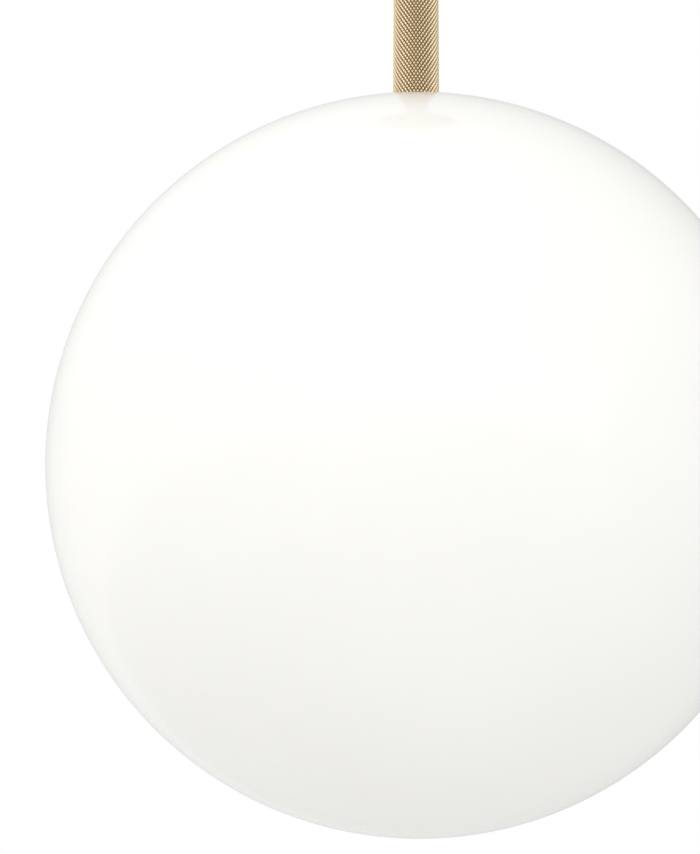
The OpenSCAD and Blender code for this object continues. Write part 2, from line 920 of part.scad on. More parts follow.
module bulb_cap() {
    in_r = cap_r - cap_wall;
    lip_in_r = cap_r + cap_lip - cap_wall;
    vent_r = 0.8;
    shoulder = 1; // how far the top's slope runs in
    color("silver")
        rotate_extrude()
            polygon([[in_r, cap_bottom_z + 2.6], [in_r, cap_top_z - 1.2],
                [in_r - shoulder, cap_top_z - cap_wall], [vent_r, cap_top_z - cap_wall],
                [vent_r, cap_top_z], [cap_r - shoulder, cap_top_z], [cap_r, cap_top_z - 1.1],
                [cap_r, cap_bottom_z + 3], [cap_r + cap_lip, cap_bottom_z + 2.4],
                [cap_r + cap_lip, cap_bottom_z], [lip_in_r, cap_bottom_z],
                [lip_in_r, cap_bottom_z + 2.2]]);
}

module bulb_housing() {
    neck_r = cap_r - cap_wall - 0.05;
    neck_z = cap_bottom_z + housing_neck_h;
    flare_z = board_z + 4;
    color("whitesmoke")
        rotate_extrude()
            polygon([[neck_r, neck_z], [neck_r, cap_bottom_z],
                [cap_r + cap_lip, cap_bottom_z], [cap_r + 1.1, face_z - 1],
                [housing_r, flare_z], [housing_r, lip_z],
                [housing_r - housing_wall, lip_z], [housing_r - housing_wall, board_z],
                [shelf_r, board_z], [shelf_r, flare_z],
                [cap_r - housing_wall, face_z - 2],
                [neck_r - housing_wall, neck_z]]);
}

module bulb_driver() {
    card = [8, 1, cap_bottom_z + housing_neck_h - board_z];
    coil = [5, 3, 7];
    coil_z = board_z + 6;
    can_d = 4.8;
    can_h = 8;
    can_y = -2.8;
    can_z = board_z + 12;
    color("seagreen")
        union() {
            translate([-card.x / 2, -card.y / 2, board_z + 0.1])
                cube(card);
            translate([-coil.x / 2, card.y / 2 - 0.1, coil_z])
                cube(coil);
            translate([0, can_y, 0])
                rod(can_d, can_z, can_z + can_h);
        }
}

module led_board() {
    color("white")
        rod(2 * board_r, board_z - board_t, board_z);
}

module leds() {
    led = [2.8, 2.8, 0.7];
    count = 8;
    ring_r = board_r - 5;
    color("khaki")
        for (i = [0:count - 1])
            rotate([0, 0, i * 360 / count])
                translate([ring_r, 0, board_z - board_t - led.z / 2])
                    cube(led, center = true);
}

// The envelope's form, at a given inset: a cone from the neck, a straight stretch and a round end
module envelope_form(inset, top_z) {
    body_r = bulb_r - inset;
    translate([0, 0, envelope_shoulder_z])
        cylinder(r1 = body_r, r2 = envelope_neck_r - inset, h = top_z - envelope_shoulder_z);
    rod(2 * body_r, dome_z, envelope_shoulder_z);
    translate([0, 0, dome_z])
        sphere(r = body_r);
}

module bulb_envelope() {
    color("white")
        difference() {
            envelope_form(0, lip_z);
            envelope_form(envelope_t, lip_z + 0.01);
        }
}

ceiling_plate();
cable_grommet();
yoke();
yoke_screws();
yoke_pins();
pivot_washers();
terminal_block();
terminal_clamps();
terminal_screws();
block_screw();
earth_tag();
earth_screw();
gimbal_ring();
ring_pins();
stem_head();
stem();
lead_live();
lead_neutral();
lead_earth();
nipple();
gallery_cap();
globe_carrier();
lock_washer();
carrier_nut();
lampholder_cap();
lampholder_skirt();
lampholder_insert();
lampholder_shell();
centre_contact();
holder_terminals();
holder_screws();
canopy();
canopy_collar();
canopy_nut();
collar_screw();
glass_gasket();
globe();
glass_ring();
bulb_pip();
bulb_cap();
bulb_insulator();
bulb_housing();
bulb_driver();
led_board();
leds();
bulb_envelope();
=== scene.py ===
"""Looks of a pendant ceiling light: an opal glass globe on a rigid, diamond-knurled brass stem.

Every piece is made here in metres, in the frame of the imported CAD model, which gives its place and size.
"""

import logging
import math
import random
from dataclasses import dataclass, field
from enum import Enum

import bmesh
import bpy
import numpy as np
from mathutils import Matrix, Vector


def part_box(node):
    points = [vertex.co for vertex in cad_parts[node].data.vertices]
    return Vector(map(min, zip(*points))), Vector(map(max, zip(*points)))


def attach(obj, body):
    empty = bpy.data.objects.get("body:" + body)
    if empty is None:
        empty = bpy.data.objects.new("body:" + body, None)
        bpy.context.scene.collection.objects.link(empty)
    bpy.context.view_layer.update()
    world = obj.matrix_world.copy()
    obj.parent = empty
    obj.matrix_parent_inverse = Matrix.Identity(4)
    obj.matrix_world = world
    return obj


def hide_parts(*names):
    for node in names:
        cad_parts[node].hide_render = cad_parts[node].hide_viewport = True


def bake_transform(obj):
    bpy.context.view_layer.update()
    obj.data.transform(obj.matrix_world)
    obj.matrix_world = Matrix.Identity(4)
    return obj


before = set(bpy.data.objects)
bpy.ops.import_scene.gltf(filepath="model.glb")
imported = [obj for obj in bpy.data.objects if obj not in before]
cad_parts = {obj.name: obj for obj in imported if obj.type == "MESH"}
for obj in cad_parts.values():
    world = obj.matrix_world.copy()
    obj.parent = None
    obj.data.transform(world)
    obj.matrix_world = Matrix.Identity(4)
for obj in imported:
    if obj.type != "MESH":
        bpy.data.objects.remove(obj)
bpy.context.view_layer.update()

log = logging.getLogger("pendant")
MM = 0.001
GAP = 0.05 * MM
Color = tuple[float, float, float, float]


class Body(Enum):
    """The rigid bodies that the pieces ride on."""

    CEILING = "ceiling_mount"
    GIMBAL = "gimbal"
    STEM = "stem"
    CANOPY = "canopy"
    GASKET = "gasket"
    GLOBE = "globe"
    BULB_TIP = "bulb_tip"
    BULB = "bulb"


class Axis(Enum):
    """The way a turned piece's own axis points once it is in place."""

    UP = "up"
    DOWN = "down"
    ALONG_X = "along_x"
    ALONG_Y = "along_y"

    def turn(self) -> Matrix:
        """The turn to this axis.

        Returns:
            The rotation that lays +Z along it.
        """
        turns = {
            Axis.UP: Matrix.Identity(4),
            Axis.DOWN: Matrix.Rotation(math.pi, 4, "X"),
            Axis.ALONG_X: Matrix.Rotation(math.pi / 2, 4, "Y"),
            Axis.ALONG_Y: Matrix.Rotation(-math.pi / 2, 4, "X"),
        }
        return turns[self]


# ---------------------------------------------------------------- shader trees


class Wire:
    """One output of a shader node. Arithmetic on it adds Math nodes."""

    def __init__(self, graph: "Graph", node: bpy.types.Node, output: int | str) -> None:
        """Keeps the output socket.

        Args:
            graph: The tree that the node belongs to.
            node: The node.
            output: Name or index of its output socket.
        """
        self.graph = graph
        self.socket = node.outputs[output]

    def _math(self, operation: str, *values: "Wire | float") -> "Wire":
        """A Math node over the given values."""
        return self.graph.add("ShaderNodeMath", {"operation": operation}, dict(enumerate(values)))

    def __add__(self, other: "Wire | float") -> "Wire":
        """Sum."""
        return self._math("ADD", self, other)

    def __sub__(self, other: "Wire | float") -> "Wire":
        """Difference."""
        return self._math("SUBTRACT", self, other)

    def __rsub__(self, other: float) -> "Wire":
        """Difference from a number."""
        return self._math("SUBTRACT", other, self)

    def __mul__(self, other: "Wire | float") -> "Wire":
        """Product."""
        return self._math("MULTIPLY", self, other)

    def __truediv__(self, other: "Wire | float") -> "Wire":
        """Quotient."""
        return self._math("DIVIDE", self, other)

    __radd__ = __add__
    __rmul__ = __mul__

    def step(self, low: float, high: float) -> "Wire":
        """A smooth rise from 0 at low to 1 at high.

        Args:
            low: The value where the rise starts.
            high: The value where it ends.

        Returns:
            A value from 0 to 1.
        """
        settings = {"interpolation_type": "SMOOTHSTEP"}
        return self.graph.add("ShaderNodeMapRange", settings, {0: self, 1: low, 2: high})


class Graph:
    """The node tree of a material or of the surround, with the few things that every finish asks of it."""

    def __init__(
        self, owner: bpy.types.Material | bpy.types.World, output: str = "ShaderNodeOutputMaterial"
    ) -> None:
        """Empties the owner's tree and adds its output.

        Args:
            owner: The material or world to fill.
            output: The type of its output node.
        """
        owner.use_nodes = True
        self.tree = owner.node_tree
        self.tree.nodes.clear()
        self.output = self.tree.nodes.new(output)

    def add(
        self, kind: str, settings: dict | None = None, sockets: dict | None = None, output: int | str = 0
    ) -> Wire:
        """Adds a node.

        Args:
            kind: The node's type.
            settings: Its properties, set first. A ramp's "stops" are pairs of place and colour.
            sockets: Values or wires for its inputs, by name or index.
            output: The output that the wire stands for.

        Returns:
            The wire from that output.
        """
        node = self.tree.nodes.new(kind)
        for name, value in (settings or {}).items():
            if name == "stops":
                self._fill_ramp(node.color_ramp, value)
            else:
                setattr(node, name, value)
        for key, value in (sockets or {}).items():
            if isinstance(value, Wire):
                self.tree.links.new(value.socket, node.inputs[key])
            else:
                node.inputs[key].default_value = value
        return Wire(self, node, output)

    @staticmethod
    def _fill_ramp(ramp: bpy.types.ColorRamp, stops: list[tuple[float, Color]]) -> None:
        """Puts the stops on a colour ramp.

        Args:
            ramp: The ramp.
            stops: Pairs of place and colour, in order.
        """
        while len(ramp.elements) < len(stops):
            ramp.elements.new(0.5)
        for element, (place, color) in zip(ramp.elements, stops, strict=True):
            element.position = place
            element.color = color

    def place(self) -> Wire:
        """The point on the piece, in metres."""
        return self.add("ShaderNodeTexCoord", output="Object")

    def noise(self, vector: Wire, scale: float, detail: float = 3.0, roughness: float = 0.55) -> Wire:
        """A noise value, about 0.5 on average.

        Args:
            vector: Where it is read.
            scale: Features in a metre.
            detail: Octaves.
            roughness: How strong the finer octaves are.

        Returns:
            The noise.
        """
        sockets = {"Vector": vector, "Scale": scale, "Detail": detail, "Roughness": roughness}
        return self.add("ShaderNodeTexNoise", {}, sockets)

    def mix(self, factor: "Wire | float", first: "Wire | Color", second: "Wire | Color") -> Wire:
        """A blend of two colours.

        Args:
            factor: 0 gives the first and 1 the second.
            first: A colour.
            second: A colour.

        Returns:
            The blended colour.
        """
        return self.add("ShaderNodeMix", {"data_type": "RGBA"}, {0: factor, 6: first, 7: second}, 2)

    def radius(self, place: Wire) -> Wire:
        """The distance of a point from the light's own axis."""
        flat = self.add("ShaderNodeVectorMath", {"operation": "MULTIPLY"}, {0: place, 1: (1, 1, 0)})
        return self.add("ShaderNodeVectorMath", {"operation": "LENGTH"}, {0: flat}, "Value")

    def turned_lines(self, place: Wire, scale: float) -> Wire:
        """The fine rings that a lathe tool leaves.

        Args:
            place: The point on the piece.
            scale: Rings in a metre.

        Returns:
            Their height, from 0 to 1.
        """
        height = self.add("ShaderNodeSeparateXYZ", {}, {0: place}, "Z")
        across = self.add("ShaderNodeCombineXYZ", {}, {0: self.radius(place), 1: height})
        return self.noise(across, scale, 2.0, 0.7)

    def bump(self, height: Wire, distance: float, strength: float = 1.0) -> Wire:
        """A bumped normal.

        Args:
            height: The surface's height, from 0 to 1.
            distance: What 1 stands for, in metres.
            strength: Share of the effect.

        Returns:
            The normal.
        """
        sockets = {"Strength": strength, "Distance": distance, "Height": height}
        return self.add("ShaderNodeBump", {}, sockets)

    def surface(self, shader: Wire) -> None:
        """Ends the tree in this shader."""
        self.tree.links.new(shader.socket, self.output.inputs["Surface"])

    def principled(self, sockets: dict) -> None:
        """Ends the tree in a Principled shader with these values or wires for its inputs."""
        self.surface(self.add("ShaderNodeBsdfPrincipled", {}, sockets))


# ---------------------------------------------------------------- finishes


@dataclass(frozen=True)
class Finish:
    """A surface finish. The slot is the record's name for it."""

    slot: str

    def material(self) -> bpy.types.Material:
        """The finish's material, made the first time it is asked for.

        Returns:
            The material.
        """
        known = bpy.data.materials.get("finish_" + self.slot)
        if known:
            return known
        made = bpy.data.materials.new("finish_" + self.slot)
        self.paint(Graph(made))
        return made

    def paint(self, graph: Graph) -> None:
        """Fills the node tree; each kind of finish has its own way."""
        raise NotImplementedError


@dataclass(frozen=True)
class OpalGlass(Finish):
    """Blown opal glass: milky white under a clear, fire-polished skin."""

    thick: Color = (0.935, 0.93, 0.90, 1)
    thin: Color = (0.90, 0.893, 0.862, 1)
    cloud_scale: float = 9.0
    wave: float = 1.2 * MM
    wave_scale: float = 5.0
    haze_scale: float = 60.0

    def paint(self, graph: Graph) -> None:
        """Soft clouds in the milk, and slow waves in the skin.

        Args:
            graph: The material's tree.
        """
        place = graph.place()
        clouds = graph.noise(place, self.cloud_scale, 4.0)
        waves = graph.noise(place, self.wave_scale, 1.0)
        graph.principled({
            "Base Color": graph.mix(clouds.step(0.25, 0.75), self.thin, self.thick),
            "Roughness": 0.06 + 0.05 * graph.noise(place, self.haze_scale, 5.0),
            "IOR": 1.5,
            "Specular IOR Level": 0.3,
            "Normal": graph.bump(waves, self.wave),
        })


@dataclass(frozen=True)
class KnurledBrass(Finish):
    """Antique brass, dark in the grooves of the knurl and rubbed bright on its crests."""

    crest: Color = (0.90, 0.755, 0.54, 1)
    flank: Color = (0.60, 0.475, 0.295, 1)
    groove: Color = (0.055, 0.036, 0.017, 1)
    rim: Color = (0.30, 0.245, 0.165, 1)
    root_radius: float = 6.58 * MM
    crest_radius: float = 7.0 * MM
    patina_scale: float = 900.0
    stain_scale: float = 260.0
    mark_scale: float = 5000.0
    mark_depth: float = 0.02 * MM

    def paint(self, graph: Graph) -> None:
        """The colour follows the depth of the knurl, with uneven patina and fine tool marks.

        Args:
            graph: The material's tree.
        """
        place = graph.place()
        depth = (graph.radius(place) - self.root_radius) / (self.crest_radius - self.root_radius)
        uneven = depth + 0.22 * (graph.noise(place, self.patina_scale, 4.0) - 0.5)
        patina = graph.mix(uneven.step(0.0, 0.3), self.groove, self.flank)
        color = graph.mix(uneven.step(0.45, 1.0), patina, self.crest)
        stains = graph.noise(place, self.stain_scale) - 0.5
        marks = graph.noise(place, self.mark_scale, 3.0)
        graph.principled({
            "Base Color": color,
            "Metallic": 1.0,
            "Specular Tint": self.rim,
            "Roughness": 0.42 - 0.18 * uneven.step(0.1, 0.9) + 0.10 * stains,
            "Normal": graph.bump(marks, self.mark_depth, 0.6),
        })


@dataclass(frozen=True)
class Metal(Finish):
    """Bare or plated metal with turning lines, dull clouds and a few specks."""

    clean: Color
    dull: Color
    roughness: float = 0.28
    lines: float = 3500.0
    line_depth: float = 0.006 * MM
    clouds: float = 55.0
    spangle: float = 0.0
    speck_scale: float = 1400.0
    spangle_scale: float = 420.0

    def paint(self, graph: Graph) -> None:
        """Turning lines in the bump and roughness; clouds, specks and spangle in the colour.

        Args:
            graph: The material's tree.
        """
        place = graph.place()
        lines = graph.turned_lines(place, self.lines)
        clouds = graph.noise(place, self.clouds, 5.0, 0.6).step(0.38, 0.72)
        specks = graph.noise(place, self.speck_scale, 2.0).step(0.66, 0.8)
        brushed = lines.step(0.3, 0.7)
        color = graph.mix(clouds * 0.4 + specks * 0.25 + brushed * 0.3, self.clean, self.dull)
        roughness = self.roughness + 0.14 * (lines - 0.5) + 0.05 * clouds
        if self.spangle:
            sockets = {"Vector": place, "Scale": self.spangle_scale}
            flakes = graph.add("ShaderNodeTexVoronoi", {}, sockets, "Color")
            color = graph.mix(self.spangle, color, flakes)
            roughness = roughness + self.spangle * 0.5 * graph.noise(flakes, 3.0)
        graph.principled({
            "Base Color": color,
            "Metallic": 1.0,
            "Roughness": roughness,
            "Normal": graph.bump(lines, self.line_depth),
        })


@dataclass(frozen=True)
class Moulded(Finish):
    """Plastic, rubber or glaze from a mould, with faint mottling and grain."""

    color: Color
    shade: Color
    roughness: float = 0.4
    grain: float = 2600.0
    grain_depth: float = 0.01 * MM
    gloss: float = 0.5
    mottle_scale: float = 70.0
    dust_scale: float = 650.0

    def paint(self, graph: Graph) -> None:
        """Mottled colour and roughness over a fine grain.

        Args:
            graph: The material's tree.
        """
        place = graph.place()
        mottle = graph.noise(place, self.mottle_scale, 4.0).step(0.3, 0.7)
        dust = graph.noise(place, self.dust_scale, 3.0).step(0.55, 0.8)
        graph.principled({
            "Base Color": graph.mix(mottle * 0.6 + dust * 0.3, self.color, self.shade),
            "Roughness": self.roughness + 0.10 * (mottle - 0.5) + 0.08 * dust,
            "Specular IOR Level": self.gloss,
            "Normal": graph.bump(graph.noise(place, self.grain, 2.0), self.grain_depth),
        })


@dataclass(frozen=True)
class Striped(Finish):
    """Cable insulation in two colours, the second as a stripe along the lead."""

    color: Color
    stripe: Color
    width: float = 0.34
    blur: float = 0.03
    grain_depth: float = 0.01 * MM

    def paint(self, graph: Graph) -> None:
        """The stripe follows the lead's own way round, which its mesh holds.

        Args:
            graph: The material's tree.
        """
        place = graph.place()
        around = graph.add("ShaderNodeAttribute", {"attribute_name": Form.AROUND}, output="Fac")
        ragged = around + 0.04 * (graph.noise(place, 900.0) - 0.5)
        away = ragged.step(self.width - self.blur, self.width + self.blur)
        color = graph.mix(away, self.stripe, self.color)
        graph.principled({
            "Base Color": color,
            "Roughness": 0.34 + 0.12 * graph.noise(place, 400.0),
            "Normal": graph.bump(graph.noise(place, 3000.0), self.grain_depth),
        })


@dataclass(frozen=True)
class Silicone(Finish):
    """Clear silicone rubber, slightly milky."""

    color: Color = (0.86, 0.87, 0.86, 1)
    milk: Color = (0.76, 0.78, 0.77, 1)
    grain_depth: float = 0.01 * MM

    def paint(self, graph: Graph) -> None:
        """Cloudy colour and a satin skin.

        Args:
            graph: The material's tree.
        """
        place = graph.place()
        cloud = graph.noise(place, 120.0, 4.0)
        graph.principled({
            "Base Color": graph.mix(cloud.step(0.3, 0.7), self.color, self.milk),
            "Roughness": 0.30 + 0.14 * cloud,
            "IOR": 1.41,
            "Transmission Weight": 0.35,
            "Normal": graph.bump(graph.noise(place, 1500.0), self.grain_depth),
        })


class Finishes:
    """Every finish of the light, by the record's slot names."""

    OPAL = OpalGlass("opal_glass")
    KNURLED = KnurledBrass("knurled_brass")
    SATIN_BRASS = Metal("satin_brass", (0.62, 0.495, 0.305, 1), (0.53, 0.415, 0.25, 1), 0.30, 5200.0,
                        0.004 * MM, clouds=26.0)
    RAW_BRASS = Metal("raw_brass", (0.83, 0.62, 0.27, 1), (0.55, 0.37, 0.14, 1), 0.24, 2200.0)
    ALUMINIUM = Metal("turned_aluminium", (0.80, 0.81, 0.82, 1), (0.60, 0.61, 0.63, 1), 0.25, 2600.0)
    ZINC = Metal("zinc_plated_steel", (0.63, 0.65, 0.68, 1), (0.44, 0.46, 0.50, 1), 0.32, 900.0, 0.003 * MM,
                 spangle=0.12)
    FASTENER = Metal("fastener_steel", (0.66, 0.66, 0.67, 1), (0.40, 0.40, 0.42, 1), 0.24, 3000.0)
    NICKEL = Metal("nickel_plate", (0.78, 0.76, 0.71, 1), (0.60, 0.57, 0.52, 1), 0.16, 1800.0, 0.003 * MM)
    SOLDER = Metal("solder", (0.70, 0.71, 0.73, 1), (0.38, 0.39, 0.41, 1), 0.34, 700.0)
    RUBBER = Moulded("black_rubber", (0.022, 0.022, 0.023, 1), (0.06, 0.058, 0.055, 1), 0.62, gloss=0.4)
    SILICONE = Silicone("clear_silicone")
    POLYAMIDE = Moulded("ivory_polyamide", (0.80, 0.75, 0.62, 1), (0.71, 0.65, 0.51, 1), 0.42)
    POLYESTER = Moulded("white_polyester", (0.84, 0.84, 0.82, 1), (0.75, 0.74, 0.71, 1), 0.36)
    INSULATOR = Moulded("glazed_insulator", (0.87, 0.86, 0.82, 1), (0.79, 0.77, 0.72, 1), 0.14,
                        grain=800.0, gloss=0.6)
    BROWN = Moulded("brown_insulation", (0.16, 0.062, 0.022, 1), (0.10, 0.038, 0.014, 1), 0.34)
    BLUE = Moulded("blue_insulation", (0.02, 0.10, 0.46, 1), (0.012, 0.06, 0.32, 1), 0.34)
    EARTH = Striped("green_yellow_insulation", (0.03, 0.27, 0.05, 1), (0.83, 0.66, 0.03, 1))
    BLACK_GLASS = Moulded("black_insulator", (0.012, 0.012, 0.014, 1), (0.035, 0.03, 0.045, 1), 0.10,
                          grain=500.0, gloss=0.7)
    BULB_PLASTIC = Moulded("bulb_plastic", (0.82, 0.82, 0.80, 1), (0.74, 0.74, 0.71, 1), 0.38)
    DIFFUSER = Moulded("bulb_diffuser", (0.90, 0.895, 0.875, 1), (0.84, 0.835, 0.81, 1), 0.48)
    DRIVER = Moulded("driver_board", (0.03, 0.20, 0.09, 1), (0.02, 0.12, 0.05, 1), 0.36, grain=1100.0)
    LED_PLATE = Moulded("led_plate", (0.83, 0.83, 0.81, 1), (0.70, 0.70, 0.67, 1), 0.44)
    PHOSPHOR = Moulded("led_phosphor", (0.84, 0.62, 0.10, 1), (0.72, 0.49, 0.05, 1), 0.40)


# ---------------------------------------------------------------- shapes


@dataclass
class Form:
    """Points and faces of a shape on the bench, before it becomes a piece."""

    points: np.ndarray
    faces: list[tuple[int, ...]]
    around: np.ndarray | None = None

    AROUND = "around"
    WELD = 0.002 * MM
    FLAT = math.radians(0.4)
    SHARP = math.radians(30)

    @classmethod
    def of_mesh(cls, mesh: bpy.types.Mesh) -> "Form":
        """A form with a mesh's points and faces."""
        points = np.array([v.co for v in mesh.vertices], float).reshape(-1, 3)
        return cls(points, [tuple(p.vertices) for p in mesh.polygons])

    @classmethod
    def _of_bmesh(cls, work: bmesh.types.BMesh) -> "Form":
        """A form with the points and faces of a mesh on the bench, which it clears away.

        Args:
            work: The mesh on the bench.

        Returns:
            The form.
        """
        mesh = bpy.data.meshes.new("bench")
        work.to_mesh(mesh)
        work.free()
        form = cls.of_mesh(mesh)
        bpy.data.meshes.remove(mesh)
        return form

    @classmethod
    def of_node(cls, node: str, edge: float) -> "Form":
        """The exact shape of a CAD node, with its sharp edges broken.

        Args:
            node: The CAD node.
            edge: Width of the broken edges.

        Returns:
            The form.
        """
        work = bmesh.new()
        work.from_mesh(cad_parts[node].data)
        bmesh.ops.remove_doubles(work, verts=work.verts, dist=cls.WELD)
        bmesh.ops.dissolve_limit(
            work, angle_limit=cls.FLAT, verts=work.verts, edges=work.edges, delimit={"NORMAL"}
        )
        sharp = [e for e in work.edges if e.is_manifold and e.calc_face_angle(0) > cls.SHARP]
        bmesh.ops.bevel(
            work, geom=sharp, offset=edge, segments=2, profile=0.6, affect="EDGES", clamp_overlap=True
        )
        return cls._of_bmesh(work)

    @classmethod
    def block(cls, size: Vector, centre: Vector, edge: float = 0.0) -> "Form":
        """A block with rounded edges.

        Args:
            size: Its length along X, Y and Z.
            centre: Its middle.
            edge: Radius of its edges.

        Returns:
            The form.
        """
        work = bmesh.new()
        bmesh.ops.create_cube(work, size=1.0)
        bmesh.ops.scale(work, vec=size, verts=work.verts)
        bmesh.ops.translate(work, vec=centre, verts=work.verts)
        if edge:
            bmesh.ops.bevel(work, geom=work.edges[:], offset=edge, segments=3, profile=0.5, affect="EDGES")
        return cls._of_bmesh(work)

    @classmethod
    def joined(cls, forms: list["Form"]) -> "Form":
        """Several forms as one, each still a solid of its own.

        Args:
            forms: The forms.

        Returns:
            The one form.
        """
        points, faces, start = [], [], 0
        for form in forms:
            points.append(form.points)
            faces += [tuple(i + start for i in face) for face in form.faces]
            start += len(form.points)
        return cls(np.concatenate(points), faces)

    def moved(self, matrix: Matrix) -> "Form":
        """The form after a move or a turn."""
        turn = np.array(matrix)
        return Form(self.points @ turn[:3, :3].T + turn[:3, 3], self.faces, self.around)

    def at(self, place: Vector | tuple[float, float, float], axis: Axis = Axis.UP) -> "Form":
        """The form with its axis laid along one of the light's, at a place.

        Args:
            place: Where its own origin goes.
            axis: The way its +Z points.

        Returns:
            The form in place.
        """
        return self.moved(Matrix.Translation(Vector(place)) @ axis.turn())

    def _thing(self) -> bpy.types.Object:
        """A loose object with this form, for the bench.

        Returns:
            The object.
        """
        mesh = bpy.data.meshes.new("bench")
        mesh.from_pydata(self.points.tolist(), [], self.faces)
        thing = bpy.data.objects.new("bench", mesh)
        bpy.context.scene.collection.objects.link(thing)
        return thing

    def cut(self, tools: list["Form"]) -> "Form":
        """The form after the tools are cut out of it.

        Args:
            tools: Closed shapes, which may meet each other.

        Returns:
            What is left.
        """
        body, cutter = self._thing(), Form.joined(tools)._thing()
        boolean = body.modifiers.new("cut", "BOOLEAN")
        boolean.operation, boolean.solver, boolean.use_self = "DIFFERENCE", "EXACT", True
        boolean.object = cutter
        graph = bpy.context.evaluated_depsgraph_get()
        mesh = bpy.data.meshes.new_from_object(body.evaluated_get(graph))
        left = Form.of_mesh(mesh)
        for thing in (body, cutter):
            old = thing.data
            bpy.data.objects.remove(thing)
            bpy.data.meshes.remove(old)
        bpy.data.meshes.remove(mesh)
        return left

    def piece(
        self,
        name: str,
        finish: Finish,
        body: "Body | Bend",
        nodes: tuple[str, ...],
        crease: float = 32.0,
    ) -> bpy.types.Object:
        """Makes the piece, dresses it and puts it on its body, or leaves it loose where it is made if it
        lies between two bodies.

        Args:
            name: The piece's name.
            finish: Its finish.
            body: The body that it moves with, or the two that it lies between.
            nodes: The CAD nodes that it stands for.
            crease: Edges sharper than this many degrees stay crisp.

        Returns:
            The new object.
        """
        mesh = bpy.data.meshes.new(name)
        mesh.from_pydata(self.points.tolist(), [], self.faces)
        mesh.validate()
        if self.around is not None:
            mesh.attributes.new(self.AROUND, "FLOAT", "POINT").data.foreach_set("value", self.around)
        mesh.shade_smooth()
        mesh.set_sharp_from_angle(angle=math.radians(crease))
        mesh.materials.append(finish.material())
        thing = bpy.data.objects.new(name, mesh)
        bpy.context.scene.collection.objects.link(thing)
        if isinstance(body, Bend):
            body.attach(thing)
        else:
            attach(thing, body.value)
        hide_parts(*nodes)
        log.info("%s: %d faces, on %s", name, len(mesh.polygons), body)
        return thing


@dataclass(frozen=True)
class Bend:
    """The two bodies that a soft piece lies between, and the points where it leaves the first and meets the
    second; nothing here makes it bend.
    """

    first: Body
    second: Body
    start: Vector
    end: Vector

    def attach(self, thing: bpy.types.Object) -> None:
        """Fixes the piece's place into its mesh, without a parent."""
        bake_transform(thing)


@dataclass(frozen=True)
class Thread:
    """A right-hand thread along a run of an outline. Its crests lie on the run.

    Its depth is below zero in a bore. The crest's and the flank's widths are shares of half a pitch.
    """

    pitch: float
    depth: float
    rows: int = 8
    crest: float = 0.12
    flank: float = 0.76
    run_out: float = 0.7

    def relief(self, z: np.ndarray, angle: np.ndarray, share: float) -> np.ndarray:
        """How far the surface lies towards the axis from the run.

        Args:
            z: Heights.
            angle: Angles round the axis.
            share: Share of the full depth, which fades at the run's ends.

        Returns:
            The distance at each angle.
        """
        phase = (z / self.pitch - angle / (2 * math.pi)) % 1.0
        slope = np.clip((np.abs(phase - 0.5) * 2 - self.crest) / self.flank, 0, 1)
        return self.depth * share * slope * slope * (3 - 2 * slope)


@dataclass(frozen=True)
class Corner:
    """A corner of a turned outline, in metres. A thread runs from it to the next corner."""

    r: float
    z: float
    fillet: float = 0.0
    thread: Thread | None = None
    hexagon: float = 0.0


@dataclass(frozen=True)
class Ring:
    """One row of a turned surface. hexagon is how steeply a six-sided row falls at its corners."""

    r: float
    z: float
    thread: Thread | None = None
    share: float = 0.0
    hexagon: float = 0.0


